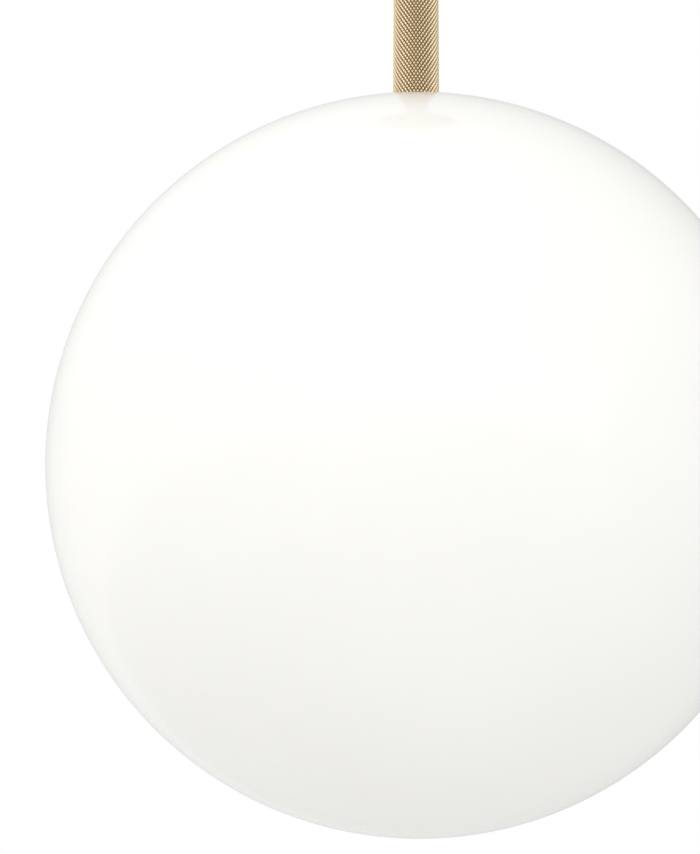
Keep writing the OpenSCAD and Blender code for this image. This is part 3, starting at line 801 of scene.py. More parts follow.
@dataclass
class Turning:
    """A shape turned about +Z from a closed outline of corners."""

    corners: list[Corner]
    steps: int = 96
    fillet_steps: int = 4

    def form(self) -> Form:
        """Turns the outline into a closed surface.

        Returns:
            The form.
        """
        rings = self._rings()
        area = sum(a.r * b.z - b.r * a.z for a, b in zip(rings, rings[1:] + rings[:1], strict=True))
        if area < 0:
            rings.reverse()
        angle = np.arange(self.steps) * 2 * math.pi / self.steps
        points, rows, start = [], [], 0
        for ring in rings:
            row = self._row(ring, angle)
            points.append(row)
            rows.append((start, len(row)))
            start += len(row)
        faces = []
        for (a, na), (b, nb) in zip(rows, rows[1:] + rows[:1], strict=True):
            for k in range(self.steps):
                n = (k + 1) % self.steps
                corners = [a + k % na, a + n % na, b + n % nb, b + k % nb]
                face = tuple(dict.fromkeys(corners))
                if len(face) > 2:
                    faces.append(face)
        return Form(np.concatenate(points), faces)

    def _row(self, ring: Ring, angle: np.ndarray) -> np.ndarray:
        """The points of one ring, or its single point on the axis.

        Args:
            ring: The ring.
            angle: The angles round the axis.

        Returns:
            An array of points.
        """
        if ring.r < 0.001 * MM:
            return np.array([[0.0, 0.0, ring.z]])
        r, z = np.full_like(angle, ring.r), np.full_like(angle, ring.z)
        if ring.thread:
            r = r - ring.thread.relief(z, angle, ring.share)
        if ring.hexagon:
            r = ring.r / np.cos((angle + math.pi / 6) % (math.pi / 3) - math.pi / 6)
            z = ring.z + ring.hexagon * (r - ring.r)
        return np.stack([r * np.cos(angle), r * np.sin(angle), z], axis=1)

    def _rings(self) -> list[Ring]:
        """The outline's rings, with its fillets rounded and its threaded runs divided.

        Returns:
            The rings, in the outline's order.
        """
        rings, count = [], len(self.corners)
        for i, corner in enumerate(self.corners):
            before, after = self.corners[i - 1], self.corners[(i + 1) % count]
            rings += self._round(before, corner, after)
            if corner.thread:
                rings += self._threaded(corner, after)
        return rings

    def _round(self, before: Corner, corner: Corner, after: Corner) -> list[Ring]:
        """The rings of one corner.

        Args:
            before: The corner before it.
            corner: The corner.
            after: The corner after it.

        Returns:
            One ring, or several where the corner has a fillet.
        """
        if not corner.fillet:
            return [Ring(corner.r, corner.z, hexagon=corner.hexagon)]
        tip = Vector((corner.r, corner.z))
        ways = [Vector((c.r, c.z)) - tip for c in (before, after)]
        half = ways[0].angle(ways[1]) / 2
        reach = [min(corner.fillet / math.tan(half), way.length * 0.49) for way in ways]
        start, end = (tip + way.normalized() * r for way, r in zip(ways, reach, strict=True))
        rings = []
        for i in range(self.fillet_steps + 1):
            t = i / self.fillet_steps
            p = start * (1 - t) ** 2 + tip * 2 * t * (1 - t) + end * t**2
            rings.append(Ring(p.x, p.y, hexagon=corner.hexagon))
        return rings

    @staticmethod
    def _threaded(corner: Corner, after: Corner) -> list[Ring]:
        """The rings of a threaded run, which fades at both ends.

        Args:
            corner: Where the run starts.
            after: Where it ends.

        Returns:
            The rings between the two.
        """
        start, end = Vector((corner.r, corner.z)), Vector((after.r, after.z))
        length = (end - start).length
        rows = max(4, round(length / corner.thread.pitch * corner.thread.rows))
        rings = []
        for i in range(1, rows):
            p = start.lerp(end, i / rows)
            from_end = min(i, rows - i) / rows * length
            share = min(1.0, from_end / (corner.thread.run_out * corner.thread.pitch))
            rings.append(Ring(p.x, p.y, corner.thread, share))
        return rings


def arc(radius: float, centre_z: float, first: float, last: float, steps: int) -> list[Corner]:
    """Corners along a circle about a point on the axis.

    Args:
        radius: The circle's radius.
        centre_z: Height of its centre.
        first: Angle from +Z where it starts, in radians.
        last: Angle where it ends.
        steps: Number of chords.

    Returns:
        The corners, both ends included.
    """
    angles = [first + (last - first) * i / steps for i in range(steps + 1)]
    return [Corner(max(0.0, radius * math.sin(a)), centre_z + radius * math.cos(a)) for a in angles]


def cylinder(radius: float, low: float, high: float, steps: int = 48) -> Form:
    """A plain round tool between two heights.

    Args:
        radius: Its radius.
        low: Its lower end.
        high: Its upper end.
        steps: Sides.

    Returns:
        The form.
    """
    corners = [Corner(0, low), Corner(radius, low), Corner(radius, high), Corner(0, high)]
    return Turning(corners, steps).form()


def circle(radius: float, x: float = 0.0, y: float = 0.0, steps: int = 64) -> list[tuple[float, float]]:
    """Points round a circle.

    Args:
        radius: Its radius.
        x: Its centre along X.
        y: Its centre along Y.
        steps: Number of points.

    Returns:
        The points.
    """
    turns = [2 * math.pi * i / steps for i in range(steps)]
    return [(x + radius * math.cos(a), y + radius * math.sin(a)) for a in turns]


def slot_outline(length: float, width: float, x: float, steps: int = 24) -> list[tuple[float, float]]:
    """Points round a slot with round ends, laid along X.

    Args:
        length: End-to-end length.
        width: Width.
        x: Its centre along X.
        steps: Chords in each end.

    Returns:
        The points.
    """
    reach = (length - width) / 2
    points = []
    for i in range(2 * steps + 2):
        side, k = (1, i) if i <= steps else (-1, i - 1)
        a = math.pi * k / steps - math.pi / 2
        points.append((x + side * reach + width / 2 * math.cos(a), width / 2 * math.sin(a)))
    return points


def sheet_metal(outlines: list[list[tuple[float, float]]], low: float, high: float, edge: float) -> Form:
    """A flat sheet with holes and softly broken edges.

    Args:
        outlines: The sheet's outline, then those of its holes.
        low: Height of its lower face.
        high: Height of its upper face.
        edge: Radius of its edges.

    Returns:
        The form.
    """
    curve = bpy.data.curves.new("bench", "CURVE")
    curve.dimensions, curve.fill_mode = "2D", "BOTH"
    curve.extrude, curve.bevel_depth, curve.bevel_resolution = (high - low) / 2 - edge, edge, 2
    curve.offset = -edge
    for outline in outlines:
        spline = curve.splines.new("POLY")
        spline.points.add(len(outline) - 1)
        for point, (x, y) in zip(spline.points, outline, strict=True):
            point.co = (x, y, 0, 1)
        spline.use_cyclic_u = True
    thing = bpy.data.objects.new("bench", curve)
    bpy.context.scene.collection.objects.link(thing)
    mesh = bpy.data.meshes.new_from_object(thing.evaluated_get(bpy.context.evaluated_depsgraph_get()))
    form = Form.of_mesh(mesh).at((0, 0, (low + high) / 2))
    bpy.data.objects.remove(thing)
    bpy.data.curves.remove(curve)
    bpy.data.meshes.remove(mesh)
    return form


def swept(route: list[Vector], radius: float, sides: int = 20, between: int = 5) -> Form:
    """A round lead along a smooth route.

    Args:
        route: The points that it passes.
        radius: Its radius.
        sides: Points round it.
        between: Rows from one point to the next.

    Returns:
        The form, which knows the way round the lead.
    """
    line = []
    for i in range(len(route) - 1):
        a, b, c, d = (route[min(max(k, 0), len(route) - 1)] for k in (i - 1, i, i + 1, i + 2))
        for j in range(between):
            t = j / between
            bend = (c - a) * t + (2 * a - 5 * b + 4 * c - d) * t**2 + (3 * b - a - 3 * c + d) * t**3
            line.append(b + bend * 0.5)
    line.append(route[-1])
    points, around = [], []
    side = Vector((0.02, 1, 0))
    for i, here in enumerate(line):
        way = (line[min(i + 1, len(line) - 1)] - line[max(i - 1, 0)]).normalized()
        side = (side - way * side.dot(way)).normalized()
        up = way.cross(side)
        for k in range(sides):
            a = 2 * math.pi * k / sides
            points.append(here + (side * math.cos(a) + up * math.sin(a)) * radius)
            around.append(0.5 + 0.5 * math.cos(a))
    rows = len(line)
    faces = [
        (i * sides + k, i * sides + (k + 1) % sides, (i + 1) * sides + (k + 1) % sides, (i + 1) * sides + k)
        for i in range(rows - 1)
        for k in range(sides)
    ]
    faces += [tuple(range(sides - 1, -1, -1)), tuple(range((rows - 1) * sides, rows * sides))]
    return Form(np.array([tuple(p) for p in points]), faces, np.array(around, np.float32))


@dataclass(frozen=True)
class Extent:
    """How far a CAD node reaches."""

    low: Vector
    high: Vector

    @classmethod
    def of(cls, node: str) -> "Extent":
        """The extent of a node at rest."""
        return cls(*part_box(node))

    @property
    def bottom(self) -> float:
        """Its lowest height."""
        return self.low.z

    @property
    def top(self) -> float:
        """Its highest height."""
        return self.high.z

    @property
    def radius(self) -> float:
        """Half its width along X."""
        return (self.high.x - self.low.x) / 2

    @property
    def middle(self) -> Vector:
        """Its centre."""
        return (self.low + self.high) / 2


def carried(body: Body, *rows: tuple[str, str, Finish, float]) -> None:
    """Makes pieces with the exact shapes of CAD nodes.

    Args:
        body: The body that they move with.
        rows: For each piece its CAD node, its name, its finish and the width of its edges in millimetres.
    """
    for node, name, finish, edge in rows:
        Form.of_node(node, edge * MM).piece(name, finish, body, (node,))


# ---------------------------------------------------------------- screws and nuts


@dataclass(frozen=True)
class PanScrew:
    """A pan-head screw with a cross recess, its head below its origin and its shank upwards."""

    shank_d: float
    head_d: float
    head_h: float
    length: float
    pitch: float = 0.7 * MM

    def form(self) -> Form:
        """The screw's shape.

        Returns:
            The form.
        """
        shank, head, tip = self.shank_d / 2, self.head_d / 2, 0.35 * MM
        crown = head * 0.62
        thread = Thread(self.pitch, 0.3 * MM)
        body = Turning([
            Corner(0, -self.head_h),
            Corner(crown, -self.head_h, 0.5 * MM),
            Corner(head, -self.head_h * 0.45, 0.6 * MM),
            Corner(head, 0, 0.1 * MM),
            Corner(shank, 0, thread=thread),
            Corner(shank, self.length - tip),
            Corner(shank - tip, self.length),
            Corner(0, self.length),
        ], steps=72).form()
        blade, depth = 0.7 * MM, self.head_h * 0.55
        middle = Vector((0, 0, -self.head_h - MM / 2 + depth / 2))
        long = Form.block(Vector((2 * crown, blade, depth + MM)), middle)
        across = Form.block(Vector((blade, 2 * crown, depth + MM)), middle)
        return body.cut([long, across])


@dataclass(frozen=True)
class SlotScrew:
    """A headless screw with a slot in its lower end, from its origin upwards."""

    d: float
    length: float

    def form(self) -> Form:
        """The screw's shape.

        Returns:
            The form.
        """
        r, tip = self.d / 2, 0.25 * MM
        slot_width, slot_depth = 0.45 * MM, 0.8 * MM
        body = Turning([
            Corner(0, 0),
            Corner(r - tip, 0),
            Corner(r, tip, thread=Thread(0.45 * MM, 0.18 * MM, 6)),
            Corner(r, self.length - tip),
            Corner(r - tip, self.length),
            Corner(0, self.length),
        ], steps=48).form()
        slot = Form.block(Vector((4 * r, slot_width, 2 * slot_depth)), Vector((0, 0, 0)))
        return body.cut([slot])


@dataclass(frozen=True)
class HexNut:
    """A chamfered hexagon nut about +Z."""

    flats: float
    bore: float
    low: float
    high: float
    pitch: float = 1.0 * MM

    def form(self) -> Form:
        """The nut's shape.

        Returns:
            The form.
        """
        flat = self.flats / 2
        face = flat * 0.955
        lead_in, fall = 0.4 * MM, 0.577
        drop = (flat - face) * fall
        thread = Thread(self.pitch, -0.45 * MM)
        return Turning([
            Corner(face, self.low),
            Corner(flat, self.low + drop, hexagon=fall),
            Corner(flat, self.high - drop, hexagon=-fall),
            Corner(face, self.high),
            Corner(self.bore + lead_in, self.high),
            Corner(self.bore, self.high - lead_in, thread=thread),
            Corner(self.bore, self.low + lead_in),
            Corner(self.bore + lead_in, self.low),
        ], steps=96).form()


# ---------------------------------------------------------------- sub-assemblies


@dataclass
class CeilingMount:
    """The steel plate on the ceiling, its yoke, cable ring and earth point."""

    slot_length: float = 12 * MM
    slot_width: float = 5 * MM
    slot_spacing: float = 60 * MM
    cable_hole: float = 6 * MM
    screw_hole: float = 2 * MM
    block_hole: float = 1.5 * MM
    edge: float = 0.25 * MM
    yoke_screw: PanScrew = PanScrew(4 * MM, 7 * MM, 2.2 * MM, 4 * MM)
    earth_screw: PanScrew = PanScrew(4 * MM, 7.2 * MM, 2.4 * MM, 2.8 * MM)

    def build(self) -> None:
        """Makes every piece of the mount."""
        self._plate()
        self._grommet()
        screws = Extent.of("yoke_screws")
        reach = screws.radius - self.yoke_screw.head_d / 2
        seat = screws.top - self.yoke_screw.length
        pair = [self.yoke_screw.form().at((side * reach, 0, seat)) for side in (-1, 1)]
        Form.joined(pair).piece("yoke_screws_pair", Finishes.FASTENER, Body.CEILING, ("yoke_screws",))
        carried(
            Body.CEILING,
            ("yoke", "yoke_strap", Finishes.ZINC, 0.3),
            ("earth_tag", "earth_tag_ring", Finishes.RAW_BRASS, 0.12),
        )
        earth = Extent.of("earth_screw")
        seat = (earth.middle.x, earth.middle.y, earth.top - self.earth_screw.length)
        self.earth_screw.form().at(seat).piece(
            "earth_screw_brass", Finishes.RAW_BRASS, Body.CEILING, ("earth_screw",)
        )

    def _plate(self) -> None:
        """The pressed steel plate with its slots and holes."""
        plate, cable = Extent.of("ceiling_plate"), Extent.of("cable_grommet")
        block, earth, screws = (Extent.of(n) for n in ("block_screw", "earth_screw", "yoke_screws"))
        reach = screws.radius - self.yoke_screw.head_d / 2
        outlines = [
            circle(plate.radius, steps=180),
            slot_outline(self.slot_length, self.slot_width, -self.slot_spacing / 2),
            slot_outline(self.slot_length, self.slot_width, self.slot_spacing / 2),
            circle(self.cable_hole, y=cable.middle.y),
            circle(self.screw_hole, -reach),
            circle(self.screw_hole, reach),
            circle(self.block_hole, y=block.middle.y),
            circle(self.screw_hole, earth.middle.x, earth.middle.y),
        ]
        sheet_metal(outlines, plate.bottom, plate.top, self.edge).piece(
            "ceiling_plate_pressed", Finishes.ZINC, Body.CEILING, ("ceiling_plate",)
        )

    def _grommet(self) -> None:
        """The rubber ring in the cable hole."""
        ring, plate = Extent.of("cable_grommet"), Extent.of("ceiling_plate")
        bore, lip = 4 * MM, 0.5 * MM
        Turning([
            Corner(bore, ring.bottom, 0.6 * MM),
            Corner(ring.radius, ring.bottom, lip),
            Corner(ring.radius, plate.bottom, 0.3 * MM),
            Corner(self.cable_hole, plate.bottom),
            Corner(self.cable_hole, ring.top, 0.3 * MM),
            Corner(bore, ring.top, 0.4 * MM),
        ]).form().at((0, ring.middle.y, 0)).piece(
            "cable_grommet_ring", Finishes.RUBBER, Body.CEILING, ("cable_grommet",)
        )


@dataclass
class TerminalBlock:
    """The two-pole block that joins the supply to the light's own leads."""

    screw: PanScrew = PanScrew(3 * MM, 5.6 * MM, 1.8 * MM, 13.8 * MM, 0.5 * MM)
    clamp_screw_d: float = 2.6 * MM

    def build(self) -> None:
        """Makes the block, its clamps and its screws."""
        carried(
            Body.CEILING,
            ("terminal_block", "terminal_block_body", Finishes.POLYAMIDE, 0.35),
            ("terminal_clamps", "terminal_clamp_tubes", Finishes.RAW_BRASS, 0.1),
        )
        all_four = Extent.of("terminal_screws")
        length = all_four.top - all_four.bottom
        across = all_four.radius - self.clamp_screw_d / 2
        along = (all_four.high.y - all_four.low.y) / 2 - self.clamp_screw_d / 2
        screws = [
            SlotScrew(self.clamp_screw_d, length).form().at(
                (s * across, all_four.middle.y + t * along, all_four.bottom)
            )
            for s in (-1, 1)
            for t in (-1, 1)
        ]
        Form.joined(screws).piece(
            "terminal_screw_set", Finishes.FASTENER, Body.CEILING, ("terminal_screws",)
        )
        block = Extent.of("block_screw")
        self.screw.form().at((0, block.middle.y, block.bottom + self.screw.head_h)).piece(
            "block_screw_pan", Finishes.FASTENER, Body.CEILING, ("block_screw",)
        )


@dataclass
class Gimbal:
    """The ring and pins that let the stem hang plumb."""

    pin_r: float = 1.5 * MM
    pin_start: float = 4.2 * MM
    rivet_start: float = 9.2 * MM
    head_h: float = 1.2 * MM
    chamfer: float = 0.3 * MM
    washer_thick: float = 0.4 * MM
    washer_edge: float = 0.08 * MM

    def build(self) -> None:
        """Makes the ring, both pairs of pins and the washers."""
        pivot = Extent.of("gimbal_ring").middle.z
        carried(Body.GIMBAL, ("gimbal_ring", "gimbal_ring_turned", Finishes.ALUMINIUM, 0.35))
        pins = Extent.of("ring_pins")
        pin = self._pin(pins.high.y - self.pin_start).at((0, 0, self.pin_start))
        self._pair(pin, Axis.ALONG_Y, pivot).piece(
            "ring_pivot_pins", Finishes.FASTENER, Body.GIMBAL, ("ring_pins",)
        )
        heads, inner = Extent.of("yoke_pins"), self.rivet_start
        neck = heads.high.x - self.head_h
        rivet = Turning([
            Corner(0, inner),
            Corner(self.pin_r - self.chamfer, inner),
            Corner(self.pin_r, inner + self.chamfer),
            Corner(self.pin_r, neck),
            Corner(2 * self.pin_r, neck, 0.15 * MM),
            Corner(2 * self.pin_r, neck + self.head_h * 0.45, 0.4 * MM),
            Corner(self.pin_r, heads.high.x, 0.9 * MM),
            Corner(0, heads.high.x),
        ], steps=64).form()
        self._pair(rivet, Axis.ALONG_X, pivot).piece(
            "yoke_pivot_pins", Finishes.FASTENER, Body.CEILING, ("yoke_pins",)
        )
        washers = Extent.of("pivot_washers")
        bore, outer, edge = self.pin_r + GAP, (washers.high.z - washers.low.z) / 2, self.washer_edge
        far = washers.high.x
        near = far - self.washer_thick
        washer = Turning([
            Corner(bore, near, edge),
            Corner(outer, near, edge),
            Corner(outer, far, edge),
            Corner(bore, far, edge),
        ], steps=64).form()
        self._pair(washer, Axis.ALONG_X, pivot).piece(
            "pivot_washer_pair", Finishes.RAW_BRASS, Body.CEILING, ("pivot_washers",)
        )

    def _pin(self, length: float) -> Form:
        """A chamfered pin from its origin upwards.

        Args:
            length: Its length.

        Returns:
            The form.
        """
        r, c = self.pin_r, self.chamfer
        return Turning([
            Corner(0, 0), Corner(r - c, 0), Corner(r, c),
            Corner(r, length - c), Corner(r - c, length), Corner(0, length),
        ], steps=64).form()

    @staticmethod
    def _pair(form: Form, axis: Axis, height: float) -> Form:
        """The same form on both sides of the light's axis.

        Args:
            form: The form, along +Z from the axis.
            axis: The way it points.
            height: The pivot's height.

        Returns:
            Both forms.
        """
        one = form.at((0, 0, 0), axis)
        other = one.moved(Matrix.Rotation(math.pi, 4, "Z"))
        return Form.joined([one, other]).at((0, 0, height))


@dataclass
class Stem:
    """The knurled tube, the head that it hangs by and the nipple in its lower end."""

    starts: int = 38
    rise: float = 2.0 * MM
    depth: float = 0.42 * MM
    crest: float = 0.13
    land: float = 3 * MM
    bore: float = 5 * MM
    lead_bore: float = 3.6 * MM
    spigot_r: float = 4.95 * MM
    pin_bore_r: float = 1.55 * MM
    uneven: float = 0.012 * MM
    seed: int = 38
    fine_thread: Thread = Thread(1 * MM, 0.5 * MM)

    def build(self) -> None:
        """Makes the three pieces."""
        self._knurled_tube().piece("stem_knurled", Finishes.KNURLED, Body.STEM, ("stem",), crease=12.0)
        self._head()
        self._nipple()

    def _knurled_tube(self) -> Form:
        """The tube: pyramids on a lattice of two helices, and a plain land at each end.

        Returns:
            The form.
        """
        tube = Extent.of("stem")
        columns = 2 * self.starts
        half_rise = self.rise / 2
        low = tube.bottom + self.land
        rows = int((tube.top - self.land - low) / half_rise) // 2 * 2
        low += ((tube.top - self.land - low) - rows * half_rise) / 2
        crest_r, root_r = tube.radius, tube.radius - self.depth
        chance = random.Random(self.seed)
        points: list[tuple[float, float, float]] = []
        faces: list[tuple[int, ...]] = []

        def add(column: float, row: float, r: float) -> int:
            """Adds a point of the lattice.

            Args:
                column: Its place round the tube, in half starts.
                row: Its place up the tube, in half rises.
                r: Its distance from the axis.

            Returns:
                Its number.
            """
            a = math.pi * column / self.starts
            points.append((r * math.cos(a), r * math.sin(a), low + row * half_rise))
            return len(points) - 1

        roots = {
            (c, r): add(c, r, root_r)
            for r in range(rows + 1)
            for c in range(columns)
            if (c + r) % 2 == 0
        }
        edges: dict[tuple[int, int], int] = {}
        for r in range(rows + 1):
            for c in range(columns):
                if (c + r) % 2 == 0:
                    continue
                left, right = roots[(c - 1) % columns, r], roots[(c + 1) % columns, r]
                top_r = crest_r - chance.random() * self.uneven
                if r in (0, rows):
                    peak = add(c, r, top_r)
                    edges[c, r] = peak
                    tip = roots[c, 1 if r == 0 else rows - 1]
                    pair = [(left, peak, tip), (peak, right, tip)]
                    faces += pair if r == 0 else [face[::-1] for face in pair]
                    continue
                up, down = roots[c, r + 1], roots[c, r - 1]
                flat = [add(c + dc * self.crest, r + dr * self.crest, top_r)
                        for dc, dr in ((-1, 0), (0, -1), (1, 0), (0, 1))]
                around = [left, down, right, up]
                faces.append(tuple(flat))
                for k in range(4):
                    n = (k + 1) % 4
                    faces.append((around[k], around[n], flat[n], flat[k]))
        outline = {**roots, **edges}
        lower = [outline[c, 0] for c in range(columns)]
        upper = [outline[c, rows] for c in range(columns)]
        chamfer = 0.4 * MM
        run_out = self.depth * 1.2
        inner = [
            (crest_r, low - run_out), (crest_r, tube.bottom + chamfer), (crest_r - chamfer, tube.bottom),
            (self.bore + chamfer, tube.bottom), (self.bore, tube.bottom + chamfer),
            (self.bore, tube.top - chamfer), (self.bore + chamfer, tube.top),
            (crest_r - chamfer, tube.top), (crest_r, tube.top - chamfer),
            (crest_r, low + rows * half_rise + run_out),
        ]
        before = lower
        for r, z in inner:
            ring = [add(c, (z - low) / half_rise, r) for c in range(columns)]
            faces += self._band(before, ring)
            before = ring
        faces += self._band(before, upper)
        return Form(np.array(points), faces)

    @staticmethod
    def _band(first: list[int], second: list[int]) -> list[tuple[int, ...]]:
        """Faces between two rings of points.

        Args:
            first: Numbers of the first ring's points.
            second: Numbers of the second ring's points.

        Returns:
            The faces.
        """
        count = len(first)
        return [
            (first[(k + 1) % count], first[k], second[k], second[(k + 1) % count]) for k in range(count)
        ]

    def _head(self) -> None:
        """The head in the gimbal, with its threaded spigot and the bore for its pins."""
        head, pivot = Extent.of("stem_head"), Extent.of("gimbal_ring").middle.z
        shoulder, spigot, edge = Extent.of("stem").top, self.spigot_r, 0.5 * MM
        body = Turning([
            Corner(self.lead_bore, head.bottom),
            Corner(spigot - edge, head.bottom),
            Corner(spigot, head.bottom + edge, thread=self.fine_thread),
            Corner(spigot, shoulder - edge),
            Corner(spigot - edge / 2, shoulder),
            Corner(head.radius, shoulder, edge),
            Corner(head.radius, head.top, 1.2 * MM),
            Corner(self.lead_bore, head.top, 0.6 * MM),
        ]).form()
        reach = 12 * MM
        pin_bore = cylinder(self.pin_bore_r, -reach, reach).at((0, 0, pivot), Axis.ALONG_Y)
        body.cut([pin_bore]).piece("stem_head_turned", Finishes.SATIN_BRASS, Body.STEM, ("stem_head",))

    def _nipple(self) -> None:
        """The threaded tube that holds the gallery and the lampholder."""
        tube, edge = Extent.of("nipple"), 0.5 * MM
        Turning([
            Corner(self.lead_bore, tube.bottom),
            Corner(tube.radius - edge, tube.bottom),
            Corner(tube.radius, tube.bottom + edge, thread=self.fine_thread),
            Corner(tube.radius, tube.top - edge),
            Corner(tube.radius - edge, tube.top),
            Corner(self.lead_bore, tube.top),
        ], steps=64).form().piece("nipple_threaded", Finishes.RAW_BRASS, Body.STEM, ("nipple",))


@dataclass
class Lead:
    """One insulated lead, in two stretches that meet at the gimbal's centre."""

    node: str
    finish: Finish
    top: list[tuple[float, float, float]]
    side: tuple[float, float]
    terminal: float
    radius: float = 0.95 * MM
    offset: float = 1.6 * MM
    reach: float = 8.5 * MM
    bend_length: float = 16 * MM
    plumb: float = 7 * MM
    straight_rows: int = 12

    def build(self) -> None:
        """Makes the two stretches of the lead."""
        pivot = Extent.of("gimbal_ring").middle.z
        joint = Vector((self.side[0] * self.offset, self.side[1] * self.offset, pivot))
        upper = [Vector(p) * MM for p in self.top] + [joint + Vector((0, 0, self.plumb)), joint]
        bend = Bend(Body.CEILING, Body.GIMBAL, upper[0], upper[-2])
        swept(upper, self.radius).piece(self.node + "_upper", self.finish, bend, (self.node,), crease=60.0)
        bend = Bend(Body.GIMBAL, Body.STEM, joint, joint - Vector((0, 0, self.bend_length)))
        swept(self._inside(joint), self.radius).piece(
            self.node + "_lower", self.finish, bend, (self.node,), crease=60.0
        )

    def _inside(self, joint: Vector) -> list[Vector]:
        """The route down the stem and out to the lampholder's terminal.

        Args:
            joint: Where the upper stretch ends.

        Returns:
            The points of the route.
        """
        nipple_end, terminal = Extent.of("nipple").bottom, Extent.of("holder_terminals").bottom
        spread = [
            (self.offset, MM), (self.offset + 0.5 * MM, -0.9 * MM), (self.offset + 2.6 * MM, -2.7 * MM),
            (self.reach - 1.9 * MM, -3.4 * MM), (self.reach - 0.2 * MM, -4.9 * MM),
        ]
        turn = Matrix.Rotation(math.radians(self.terminal), 3, "Z")
        ends = [turn @ Vector((x, 0, nipple_end + z)) for x, z in spread]
        ends.append(turn @ Vector((self.reach, 0, terminal + 2 * MM)))
        straight = [joint.lerp(ends[0], i / self.straight_rows) for i in range(self.straight_rows)]
        return straight + ends


@dataclass
class Canopy:
    """The spun cup at the ceiling and the collar that holds it on the stem."""

    wall: float = 1.2 * MM
    corner: float = 4 * MM
    neck_r: float = 8.5 * MM
    chamfer: float = 0.8 * MM
    bore: float = 7.1 * MM
    screw_r: float = 1.5 * MM
    groove: float = 0.35 * MM
    groove_rise: float = 2.1 * MM
    grub_r: float = 1.45 * MM
    socket_r: float = 0.98 * MM

    def build(self) -> None:
        """Makes the cup, the collar, its nut and its grub screw."""
        self._cup()
        self._collar()
        nut = Extent.of("canopy_nut")
        HexNut(nut.high.y - nut.low.y, self.neck_r + GAP, nut.bottom, nut.top).form().piece(
            "canopy_nut_hex", Finishes.ZINC, Body.CANOPY, ("canopy_nut",)
        )
        self._grub_screw()

    def _cup(self) -> None:
        """The cup: a flat floor with a hole, a round corner, a straight wall and a rolled rim."""
        cup, rim = Extent.of("canopy"), self.wall / 2
        inside = cup.radius - self.wall
        Turning([
            Corner(self.neck_r + GAP, cup.bottom, 0.15 * MM),
            Corner(cup.radius, cup.bottom, self.corner),
            Corner(cup.radius, cup.top, rim * 0.9),
            Corner(inside, cup.top, rim * 0.9),
            Corner(inside, cup.bottom + self.wall, self.corner - self.wall),
            Corner(self.neck_r + GAP, cup.bottom + self.wall, 0.15 * MM),
        ], steps=240, fillet_steps=10).form().piece(
            "canopy_spun", Finishes.SATIN_BRASS, Body.CANOPY, ("canopy",)
        )

    def _collar(self) -> None:
        """The collar, with a fine groove round it and a threaded neck through the cup."""
        collar, floor = Extent.of("canopy_collar"), Extent.of("canopy").bottom
        r, middle, groove = collar.radius, (collar.bottom + floor) / 2, self.groove
        low_groove = collar.bottom + self.groove_rise
        body = Turning([
            Corner(self.bore + 0.3 * MM, collar.bottom),
            Corner(r - self.chamfer, collar.bottom, 0.15 * MM),
            Corner(r, collar.bottom + self.chamfer, 0.15 * MM),
            Corner(r, low_groove, 0.05 * MM),
            Corner(r - groove, low_groove + groove / 2),
            Corner(r, low_groove + groove, 0.05 * MM),
            Corner(r, floor - 0.3 * MM, 0.1 * MM),
            Corner(r - 0.3 * MM, floor),
            Corner(self.neck_r, floor, thread=Thread(MM, 0.45 * MM)),
            Corner(self.neck_r, collar.top - 0.4 * MM),
            Corner(self.neck_r - 0.4 * MM, collar.top),
            Corner(self.bore, collar.top),
            Corner(self.bore, collar.bottom + 0.3 * MM),
        ], steps=192).form()
        hole = cylinder(self.screw_r, 0, 14 * MM).at((0, 0, middle), Axis.ALONG_Y)
        sink = Turning([
            Corner(0, r - 0.5 * MM), Corner(self.screw_r, r - 0.5 * MM),
            Corner(self.screw_r + MM, r + 0.5 * MM), Corner(0, r + 0.5 * MM),
        ], steps=48).form().at((0, 0, middle), Axis.ALONG_Y)
        body.cut([hole, sink]).piece(
            "canopy_collar_turned", Finishes.SATIN_BRASS, Body.CANOPY, ("canopy_collar",), crease=24.0
        )

    def _grub_screw(self) -> None:
        """The grub screw with a hexagon socket."""
        screw = Extent.of("collar_screw")
        r, start, end, tip = self.grub_r, screw.low.y, screw.high.y, 0.3 * MM
        body = Turning([
            Corner(0, start),
            Corner(r - 0.6 * MM, start),
            Corner(r, start + 0.6 * MM, thread=Thread(0.5 * MM, 0.2 * MM)),
            Corner(r, end - tip),
            Corner(r - tip, end),
            Corner(0, end),
        ], steps=60).form()
        socket = cylinder(self.socket_r, end - 1.5 * MM, end + MM, steps=6)
        body.cut([socket]).at((0, 0, screw.middle.z), Axis.ALONG_Y).piece(
            "collar_grub_screw", Finishes.FASTENER, Body.CANOPY, ("collar_screw",)
        )


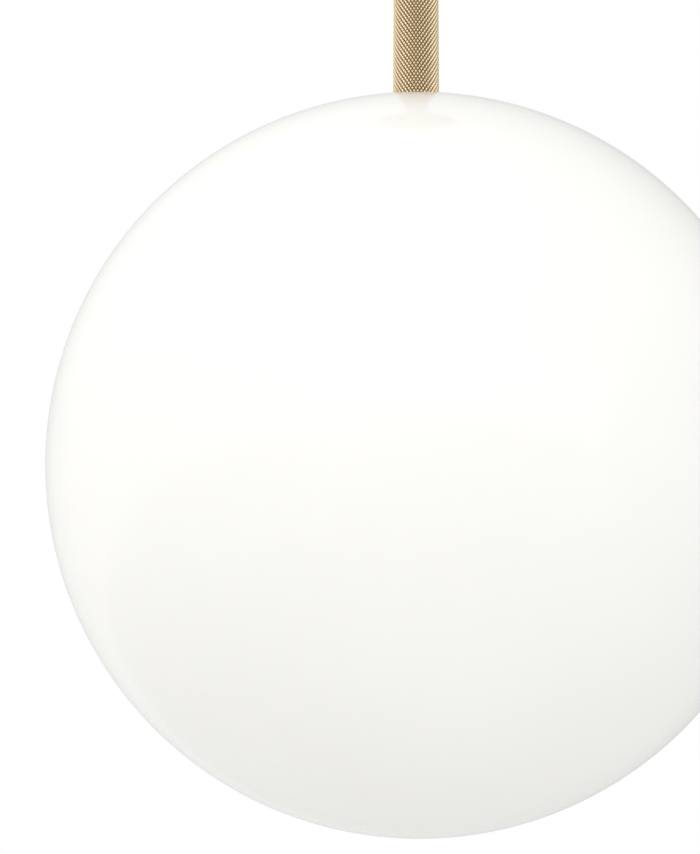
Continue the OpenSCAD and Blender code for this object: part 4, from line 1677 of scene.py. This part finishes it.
@dataclass
class Gallery:
    """The spun cap on the glass and the carrier that the globe screws onto."""

    wall: float = 1.2 * MM
    rise: float = 4.6 * MM
    rim_round: float = 1.6 * MM
    flat_r: float = 9 * MM
    seat_in_r: float = 20 * MM
    bore: float = 5.05 * MM
    hub_r: float = 8.5 * MM
    carrier_wall: float = 2.4 * MM
    web: float = 2.4 * MM
    hub_drop: float = 0.8 * MM
    vent_r: float = 2.25 * MM
    glass_thread: Thread = Thread(2 * MM, 0.7 * MM, 10)

    def build(self) -> None:
        """Makes the cap, the carrier, the lock washer and the nut."""
        self._cap()
        self._carrier()
        carried(Body.STEM, ("lock_washer", "lock_washer_toothed", Finishes.FASTENER, 0.1))
        nut = Extent.of("carrier_nut")
        HexNut(nut.high.y - nut.low.y, self.bore, nut.bottom, nut.top).form().piece(
            "carrier_nut_hex", Finishes.ZINC, Body.STEM, ("carrier_nut",)
        )

    def _cap(self) -> None:
        """The cap: it falls from a flat middle to its seat, then turns down round the rim."""
        cap, edge = Extent.of("gallery_cap"), 0.3 * MM
        seat_top = cap.top - self.rise
        seat, inside = seat_top - self.wall, cap.radius - self.wall
        Turning([
            Corner(self.bore, cap.top),
            Corner(self.flat_r, cap.top, 3 * MM),
            Corner(self.seat_in_r, seat_top, 3 * MM),
            Corner(cap.radius, seat_top, self.rim_round),
            Corner(cap.radius, cap.bottom, edge),
            Corner(inside, cap.bottom, edge),
            Corner(inside, seat, 0.3 * MM),
            Corner(self.seat_in_r - 0.3 * MM, seat),
            Corner(self.flat_r - 0.3 * MM, cap.top - self.wall),
            Corner(self.bore, cap.top - self.wall),
        ], steps=240, fillet_steps=8).form().piece(
            "gallery_cap_spun", Finishes.SATIN_BRASS, Body.STEM, ("gallery_cap",), crease=25.0
        )

    def _carrier(self) -> None:
        """The carrier: a hub, a web with six vents and a threaded skirt."""
        carrier, cap = Extent.of("globe_carrier"), Extent.of("gallery_cap")
        top = cap.top - self.rise - self.wall - 0.2 * MM
        under, inner = top - self.web, carrier.radius - self.carrier_wall
        hub_bottom = under - self.hub_drop
        body = Turning([
            Corner(self.bore, hub_bottom),
            Corner(self.hub_r, hub_bottom, 0.2 * MM),
            Corner(self.hub_r, under),
            Corner(inner, under, MM),
            Corner(inner, carrier.bottom, 0.3 * MM),
            Corner(carrier.radius - 0.5 * MM, carrier.bottom),
            Corner(carrier.radius, carrier.bottom + 0.5 * MM, thread=self.glass_thread),
            Corner(carrier.radius, top - 0.5 * MM),
            Corner(carrier.radius - 0.5 * MM, top),
            Corner(self.hub_r, top, 0.3 * MM),
            Corner(self.hub_r, carrier.top),
            Corner(self.bore, carrier.top),
        ], steps=120).form()
        ring_r = (self.hub_r + inner) / 2
        vent = cylinder(self.vent_r, under - MM, top + MM, steps=40).at((ring_r, 0, 0))
        vents = [vent.moved(Matrix.Rotation(math.radians(a), 4, "Z")) for a in range(30, 360, 60)]
        body.cut(vents).piece("globe_carrier_turned", Finishes.ALUMINIUM, Body.STEM, ("globe_carrier",))


@dataclass
class Lampholder:
    """The lampholder: a brass cap, a moulded skirt, an insert and the contacts."""

    wall: float = 1.2 * MM
    neck_r: float = 7.2 * MM
    neck_h: float = 3 * MM
    slope_h: float = 5 * MM
    bore: float = 5.05 * MM
    skirt_wall: float = 1.3 * MM
    skirt_bore: float = 8.2 * MM
    skirt_ledge: float = 16 * MM
    outer_thread: Thread = Thread(2.5 * MM, 0.5 * MM)
    shell_wall: float = 0.4 * MM
    shell_lip: float = 2.4 * MM
    cap_thread: Thread = Thread(2.822 * MM, 0.2 * MM, 12)

    def build(self) -> None:
        """Makes every piece of the lampholder."""
        self._cap()
        self._skirt()
        self._shell()
        carried(
            Body.STEM,
            ("lampholder_insert", "lampholder_insert_glazed", Finishes.INSULATOR, 0.4),
            ("centre_contact", "centre_contact_leaf", Finishes.RAW_BRASS, 0.12),
            ("holder_terminals", "holder_terminal_blocks", Finishes.RAW_BRASS, 0.2),
        )
        self._screws()

    def _cap(self) -> None:
        """The brass cap on the nipple."""
        cap, edge = Extent.of("lampholder_cap"), 0.25 * MM
        inside, under = cap.radius - self.wall, cap.top - self.neck_h - self.wall - 0.8 * MM
        shoulder = cap.top - self.neck_h - self.slope_h
        Turning([
            Corner(self.bore, cap.top, edge),
            Corner(self.neck_r, cap.top, edge),
            Corner(self.neck_r, cap.top - self.neck_h, MM),
            Corner(cap.radius, shoulder, 2 * MM),
            Corner(cap.radius, cap.bottom, edge),
            Corner(inside, cap.bottom, edge),
            Corner(inside, shoulder - 0.4 * MM, MM),
            Corner(self.neck_r - 0.6 * MM, under),
            Corner(self.bore, under),
        ], steps=128).form().piece(
            "lampholder_cap_spun", Finishes.SATIN_BRASS, Body.STEM, ("lampholder_cap",)
        )

    def _skirt(self) -> None:
        """The moulded skirt round the bulb's cap, threaded on its outside."""
        skirt = Extent.of("lampholder_skirt")
        ledge, r = skirt.bottom + self.skirt_ledge, skirt.radius
        Turning([
            Corner(self.skirt_bore, skirt.bottom, 0.4 * MM),
            Corner(r - 1.2 * MM, skirt.bottom, 0.6 * MM),
            Corner(r - MM, skirt.bottom + 2 * MM),
            Corner(r, ledge - 4 * MM, 0.4 * MM, self.outer_thread),
            Corner(r, skirt.top - 2 * MM),
            Corner(r, skirt.top, 0.3 * MM),
            Corner(r - self.skirt_wall, skirt.top, 0.3 * MM),
            Corner(r - self.skirt_wall, ledge),
            Corner(self.skirt_bore, ledge),
        ], steps=128).form().piece(
            "lampholder_skirt_moulded", Finishes.POLYESTER, Body.STEM, ("lampholder_skirt",)
        )

    def _shell(self) -> None:
        """The rolled brass screw shell; its thread is pressed through the sheet."""
        shell = Extent.of("lampholder_shell")
        outer, inner = shell.radius, shell.radius - self.shell_wall
        Turning([
            Corner(inner, shell.top - self.shell_wall, thread=self.cap_thread),
            Corner(inner, shell.bottom),
            Corner(outer, shell.bottom, thread=self.cap_thread),
            Corner(outer, shell.top, 0.15 * MM),
            Corner(outer - self.shell_lip, shell.top),
            Corner(outer - self.shell_lip, shell.top - self.shell_wall),
        ], steps=96).form().piece(
            "lampholder_shell_rolled", Finishes.RAW_BRASS, Body.STEM, ("lampholder_shell",)
        )

    @staticmethod
    def _screws() -> None:
        """The three terminal screws, turned outwards like their terminals."""
        terminals = Extent.of("holder_terminals")
        reach, start, length, d = 8.5 * MM, 1.15 * MM, 2.9 * MM, 2.4 * MM
        height = (terminals.bottom + terminals.top) / 2
        screw = SlotScrew(d, length).form().at((0, 0, 0), Axis.DOWN).at((0, 0, start + length))
        laid = screw.at((reach, 0, height), Axis.ALONG_Y)
        turns = [laid.moved(Matrix.Rotation(math.radians(a), 4, "Z")) for a in (180, 0, 90)]
        Form.joined(turns).piece("holder_screw_set", Finishes.FASTENER, Body.STEM, ("holder_screws",))


@dataclass
class Globe:
    """The opal glass ball, the threaded ring in its mouth and the gasket above."""

    wall: float = 3 * MM
    mouth_r: float = 22 * MM
    lip: float = 1.2 * MM
    flange: float = 1.2 * MM
    sleeve: float = 1.8 * MM
    gasket_r: float = 21 * MM
    glass_thread: Thread = Thread(2 * MM, -0.45 * MM, 10)
    steps: int = 288
    outer_rows: int = 150
    inner_rows: int = 110

    def build(self) -> None:
        """Makes the glass, the ring and the gasket."""
        ball = Extent.of("globe")
        centre = ball.bottom + ball.radius
        self._glass(ball.radius, centre)
        self._ring(ball.radius, centre)
        self._gasket(ball.radius, centre)

    def _glass(self, r: float, centre: float) -> None:
        """The blown ball: two spheres joined by a ground and fire-polished lip.

        Args:
            r: Outer radius.
            centre: Height of its centre.
        """
        inner = r - self.wall
        mouth = math.asin((self.mouth_r + self.lip) / r)
        mouth_in = math.asin((self.mouth_r + self.lip) / inner)
        corners = arc(r, centre, math.pi, mouth, self.outer_rows)
        for radius in (r, inner):
            height = centre + math.sqrt(radius**2 - self.mouth_r**2)
            corners.append(Corner(self.mouth_r, height, 1.1 * MM))
        corners += arc(inner, centre, mouth_in, math.pi, self.inner_rows)
        Turning(corners, self.steps, fillet_steps=6).form().piece(
            "globe_opal", Finishes.OPAL, Body.GLOBE, ("globe",), crease=60.0
        )

    def _ring(self, r: float, centre: float) -> None:
        """The aluminium ring: a threaded sleeve with a flange that follows the glass.

        Args:
            r: Outer radius of the glass.
            centre: Height of its centre.
        """
        ring = Extent.of("glass_ring")
        sleeve_r = self.mouth_r - 0.1 * MM
        bore, over = sleeve_r - self.sleeve, r + self.flange

        def lay(radius: float, at: float) -> float:
            """Height of a sphere at a distance from the axis."""
            return centre + math.sqrt(radius**2 - at**2)

        first, last = math.asin(bore / over), math.asin(ring.radius / over)
        top = arc(over, centre, first, last, 6)[1:-1]
        Turning([
            Corner(bore, ring.bottom + 0.4 * MM, thread=self.glass_thread),
            Corner(bore, lay(over, bore) - 0.4 * MM),
            Corner(bore + 0.3 * MM, lay(over, bore + 0.3 * MM)),
            *top,
            Corner(ring.radius, lay(over, ring.radius), 0.3 * MM),
            Corner(ring.radius, lay(r + GAP, ring.radius), 0.2 * MM),
            Corner(sleeve_r, lay(r + GAP, sleeve_r)),
            Corner(sleeve_r, ring.bottom, 0.3 * MM),
            Corner(bore + 0.3 * MM, ring.bottom),
        ], steps=160).form().piece("glass_ring_threaded", Finishes.ALUMINIUM, Body.GLOBE, ("glass_ring",))

    def _gasket(self, r: float, centre: float) -> None:
        """The silicone ring; its underside follows the flange.

        Args:
            r: Outer radius of the glass.
            centre: Height of its centre.
        """
        gasket = Extent.of("glass_gasket")
        inside, under = self.gasket_r, r + self.flange + GAP
        first, last = math.asin(gasket.radius / under), math.asin(inside / under)
        Turning([
            Corner(inside, gasket.top, 0.3 * MM),
            *reversed(arc(under, centre, first, last, 6)),
            Corner(gasket.radius, gasket.top, 0.3 * MM),
        ], steps=160).form().piece("glass_gasket_ring", Finishes.SILICONE, Body.GASKET, ("glass_gasket",))


@dataclass
class Bulb:
    """The screw-in lamp inside the globe. Its solder tip is lifted clear of the insulator by a hair."""

    cap_r: float = 6.95 * MM
    cap_wall: float = 0.3 * MM
    cap_flare: float = 0.6 * MM
    tip_lift: float = 0.01 * MM
    tip_step: float = 0.55 * MM
    insulator_top_r: float = 3.2 * MM
    housing_wall: float = 1.2 * MM
    shelf_width: float = 1.8 * MM
    shelf_height: float = 4 * MM
    envelope_wall: float = 1.2 * MM
    cap_thread: Thread = Thread(2.822 * MM, 0.6 * MM, 12)

    def build(self) -> None:
        """Makes every piece of the bulb."""
        self._cap()
        self._housing()
        self._envelope()
        carried(
            Body.BULB,
            ("bulb_driver", "bulb_driver_board", Finishes.DRIVER, 0.15),
            ("leds", "led_chips", Finishes.PHOSPHOR, 0.15),
            ("led_board", "led_board_disc", Finishes.LED_PLATE, 0.15),
        )

    def _cap(self) -> None:
        """The solder tip, the glass insulator and the rolled screw cap."""
        pip, insulator, cap = Extent.of("bulb_pip"), Extent.of("bulb_insulator"), Extent.of("bulb_cap")
        Turning([
            Corner(0, pip.bottom + self.tip_lift),
            Corner(pip.radius, pip.bottom + self.tip_lift, 0.2 * MM),
            Corner(pip.radius, pip.bottom + self.tip_step, 0.35 * MM),
            Corner(pip.radius * 0.55, pip.top, 0.6 * MM),
            Corner(0, pip.top),
        ], steps=64).form().piece("bulb_solder_tip", Finishes.SOLDER, Body.BULB_TIP, ("bulb_pip",))
        Turning([
            Corner(0, insulator.bottom),
            Corner(insulator.radius, insulator.bottom, 0.4 * MM),
            Corner(self.insulator_top_r, insulator.top, 0.4 * MM),
            Corner(0, insulator.top),
        ], steps=96).form().piece(
            "bulb_insulator_glass", Finishes.BLACK_GLASS, Body.BULB, ("bulb_insulator",)
        )
        r, wall, top, low = self.cap_r, self.cap_wall, cap.top, cap.bottom
        Turning([
            Corner(r - wall, low + 2.6 * MM, thread=self.cap_thread),
            Corner(r - wall, top - 1.6 * MM),
            Corner(r - 1.3 * MM, top - wall),
            Corner(0.8 * MM, top - wall),
            Corner(0.8 * MM, top),
            Corner(r - MM, top, 0.5 * MM),
            Corner(r, top - 1.4 * MM, thread=self.cap_thread),
            Corner(r, low + 3 * MM),
            Corner(r + self.cap_flare, low + 2.4 * MM, 0.2 * MM),
            Corner(r + self.cap_flare, low, 0.1 * MM),
            Corner(r + 0.3 * MM, low, 0.1 * MM),
            Corner(r + 0.3 * MM, low + 2.2 * MM),
        ], steps=96).form().piece("bulb_cap_rolled", Finishes.NICKEL, Body.BULB, ("bulb_cap",))

    def _housing(self) -> None:
        """The moulded housing, which flares from the cap to the envelope."""
        housing, board, cap = Extent.of("bulb_housing"), Extent.of("led_board").top, Extent.of("bulb_cap")
        face = cap.bottom - 1.2 * MM
        neck, wall = self.cap_r - self.cap_wall - 0.65 * MM, self.housing_wall
        shelf = housing.radius - wall - self.shelf_width
        base = board + self.shelf_height
        Turning([
            Corner(neck, housing.top, 0.2 * MM),
            Corner(neck, cap.bottom),
            Corner(self.cap_r + self.cap_flare, cap.bottom, 0.1 * MM),
            Corner(self.cap_r + 1.1 * MM, face - MM, 2 * MM),
            Corner(housing.radius, base, 3 * MM),
            Corner(housing.radius, housing.bottom, 0.2 * MM),
            Corner(housing.radius - wall, housing.bottom, 0.2 * MM),
            Corner(housing.radius - wall, board),
            Corner(shelf, board),
            Corner(shelf, base),
            Corner(self.cap_r - wall, face - 2 * MM, MM),
            Corner(neck - wall, cap.bottom + 8 * MM),
        ], steps=128, fillet_steps=6).form().piece(
            "bulb_housing_moulded", Finishes.BULB_PLASTIC, Body.BULB, ("bulb_housing",)
        )

    def _envelope(self) -> None:
        """The diffusing envelope: a cone from the neck, a straight stretch and a round end."""
        envelope, housing = Extent.of("bulb_envelope"), Extent.of("bulb_housing").radius
        r, wall = envelope.radius, self.envelope_wall
        dome = envelope.bottom + r
        shoulder = Extent.of("led_board").top - 10 * MM
        neck = housing - 0.2 * MM
        Turning([
            *arc(r, dome, math.pi, math.pi / 2, 36),
            Corner(r, shoulder, 6 * MM),
            Corner(neck, envelope.top, 0.2 * MM),
            Corner(neck - wall, envelope.top, 0.2 * MM),
            Corner(r - wall, shoulder, 5 * MM),
            *arc(r - wall, dome, math.pi / 2, math.pi, 36),
        ], steps=144, fillet_steps=8).form().piece(
            "bulb_envelope_diffuser", Finishes.DIFFUSER, Body.BULB, ("bulb_envelope",), crease=50.0
        )


# ---------------------------------------------------------------- studio


@dataclass(frozen=True)
class Softbox:
    """A rectangular studio light that looks at the globe."""

    name: str
    place: tuple[float, float, float]
    width: float
    height: float
    power: float

    def build(self, target: Vector) -> None:
        """Hangs the light.

        Args:
            target: The point that it faces.
        """
        lamp = bpy.data.lights.new(self.name, "AREA")
        lamp.shape, lamp.size, lamp.size_y = "RECTANGLE", self.width, self.height
        lamp.energy = self.power
        thing = bpy.data.objects.new(self.name, lamp)
        bpy.context.scene.collection.objects.link(thing)
        thing.location = self.place
        thing.rotation_euler = (target - Vector(self.place)).to_track_quat("-Z", "Y").to_euler()


@dataclass
class Studio:
    """The pale floor, the soft light and the camera below the globe."""

    elevation: float = 23.0
    distance: float = 0.48
    turned_aside: float = 2.157
    tilted_above: float = 1.196
    lens: float = 73.87
    lean: tuple[float, float, float] = (-0.22, -0.3, 0.0)
    surround: tuple[tuple[float, float], ...] = ((0.0, 1.35), (0.45, 1.2), (0.7, 0.88))
    floor_gap: float = 0.36
    floor_radius: float = 7.0
    fade_start: float = 0.6
    floor_light: Color = (0.92, 0.92, 0.91, 1)
    floor_dark: Color = (0.90, 0.90, 0.89, 1)
    lights: list[Softbox] = field(default_factory=lambda: [
        Softbox("key_softbox", (-0.95, -0.35, 0.75), 1.0, 1.0, 1.2),
        Softbox("fill_softbox", (0.7, -1.4, -0.5), 1.6, 0.6, 2.0),
    ])

    def build(self) -> None:
        """Sets up the whole studio."""
        ball = Extent.of("globe")
        centre = Vector((0, 0, ball.bottom + ball.radius))
        self._world()
        self._floor(ball.bottom - self.floor_gap)
        for light in self.lights:
            light.build(centre)
        self._camera(centre)
        bpy.context.scene.view_settings.view_transform = "Standard"

    def _world(self) -> None:
        """An even white surround: paper white to the eye, and as a light stronger from below and ahead."""
        world = bpy.data.worlds.new("studio")
        graph = Graph(world, "ShaderNodeOutputWorld")
        way = graph.add("ShaderNodeTexCoord", output="Generated")
        height = graph.add("ShaderNodeSeparateXYZ", {}, {0: way}, "Z")
        level = graph.add("ShaderNodeMapRange", {}, {"Value": height, "From Min": -1.0})
        stops = [(place, (value, value, value, 1)) for place, value in self.surround]
        shade = graph.add("ShaderNodeValToRGB", {"stops": stops}, {0: level})
        sockets = {0: way, 1: self.lean}
        lean = graph.add("ShaderNodeVectorMath", {"operation": "DOT_PRODUCT"}, sockets, "Value")
        lit = graph.add("ShaderNodeBackground", {}, {"Color": shade, "Strength": lean + 1.0})
        seen = graph.add("ShaderNodeBackground", {}, {"Color": (1, 1, 1, 1)})
        by_eye = graph.add("ShaderNodeLightPath", output="Is Camera Ray")
        graph.surface(graph.add("ShaderNodeMixShader", {}, {0: by_eye, 1: lit, 2: seen}))
        bpy.context.scene.world = world

    def _floor(self, height: float) -> None:
        """A pale round floor that fades into the surround at its rim.

        Args:
            height: Its height.
        """
        rings, steps = 24, 96
        points = [(0.0, 0.0, height)]
        for ring in range(1, rings + 1):
            points += [(x, y, height) for x, y in circle(self.floor_radius * ring / rings, steps=steps)]
        faces: list[tuple[int, ...]] = [(0, 1 + k, 1 + (k + 1) % steps) for k in range(steps)]
        for ring in range(rings - 1):
            a, b = 1 + ring * steps, 1 + (ring + 1) * steps
            faces += [(a + k, b + k, b + (k + 1) % steps, a + (k + 1) % steps) for k in range(steps)]
        mesh = bpy.data.meshes.new("studio_floor")
        mesh.from_pydata(points, [], faces)
        material = bpy.data.materials.new("pale_floor")
        graph = Graph(material)
        place = graph.place()
        tone = graph.mix(graph.noise(place, 14.0, 4.0), self.floor_light, self.floor_dark)
        paint = graph.add("ShaderNodeBsdfPrincipled", {}, {
            "Base Color": tone, "Roughness": 0.7 + 0.1 * graph.noise(place, 300.0)})
        clear = graph.add("ShaderNodeBsdfTransparent")
        fade = graph.radius(place).step(self.fade_start, self.floor_radius * 0.75)
        graph.surface(graph.add("ShaderNodeMixShader", {}, {0: fade, 1: paint, 2: clear}))
        mesh.materials.append(material)
        floor = bpy.data.objects.new("studio_floor", mesh)
        bpy.context.scene.collection.objects.link(floor)

    def _camera(self, centre: Vector) -> None:
        """The camera: below the globe, looking up, and turned so that the globe sits low and right.

        Args:
            centre: The globe's centre.
        """
        rise = math.radians(self.elevation)
        camera = bpy.data.cameras.new("camera")
        camera.lens, camera.sensor_width = self.lens, 36.0
        camera.clip_start, camera.clip_end = 0.01, 50.0
        thing = bpy.data.objects.new("camera", camera)
        bpy.context.scene.collection.objects.link(thing)
        place = centre - Vector((0, math.cos(rise), math.sin(rise))) * self.distance
        tilt = Matrix.Rotation(math.pi / 2 + rise + math.radians(self.tilted_above), 4, "X")
        aside = Matrix.Rotation(math.radians(self.turned_aside), 4, "Y")
        thing.matrix_world = Matrix.Translation(place) @ tilt @ aside
        bpy.context.scene.camera = thing


def leads() -> list[Lead]:
    """The three leads, with the stretch of each from its clamp to the gimbal, in millimetres.

    Returns:
        The leads.
    """
    live = [(-5, 24, -9.5), (-5, 18, -9.5), (-4.6, 14, -9.1), (-3.6, 8, -8.5), (-2.6, 3.5, -8.9),
            (-2, 1, -10.7)]
    neutral = [(-x, y, z) for x, y, z in live]
    earth = [(-16.5, 18.6, -3.4), (-14, 16.6, -4.4), (-9, 12.6, -6.2), (-4, 8, -6.6), (-1, 4.4, -6.8),
             (0, 2.2, -8.6)]
    return [
        Lead("lead_live", Finishes.BROWN, live, (-1, 0), 180),
        Lead("lead_neutral", Finishes.BLUE, neutral, (1, 0), 0),
        Lead("lead_earth", Finishes.EARTH, earth, (0, 1), 90),
    ]


def main() -> None:
    """Builds the light and the studio in order."""
    logging.basicConfig(level=logging.INFO, format="%(name)s: %(message)s")
    Studio().build()
    for assembly in (
        CeilingMount(), TerminalBlock(), Gimbal(), Stem(), *leads(), Canopy(), Gallery(), Lampholder(),
        Globe(), Bulb(),
    ):
        log.info("building %s", type(assembly).__name__)
        assembly.build()


if __name__ == "__main__":
    main()
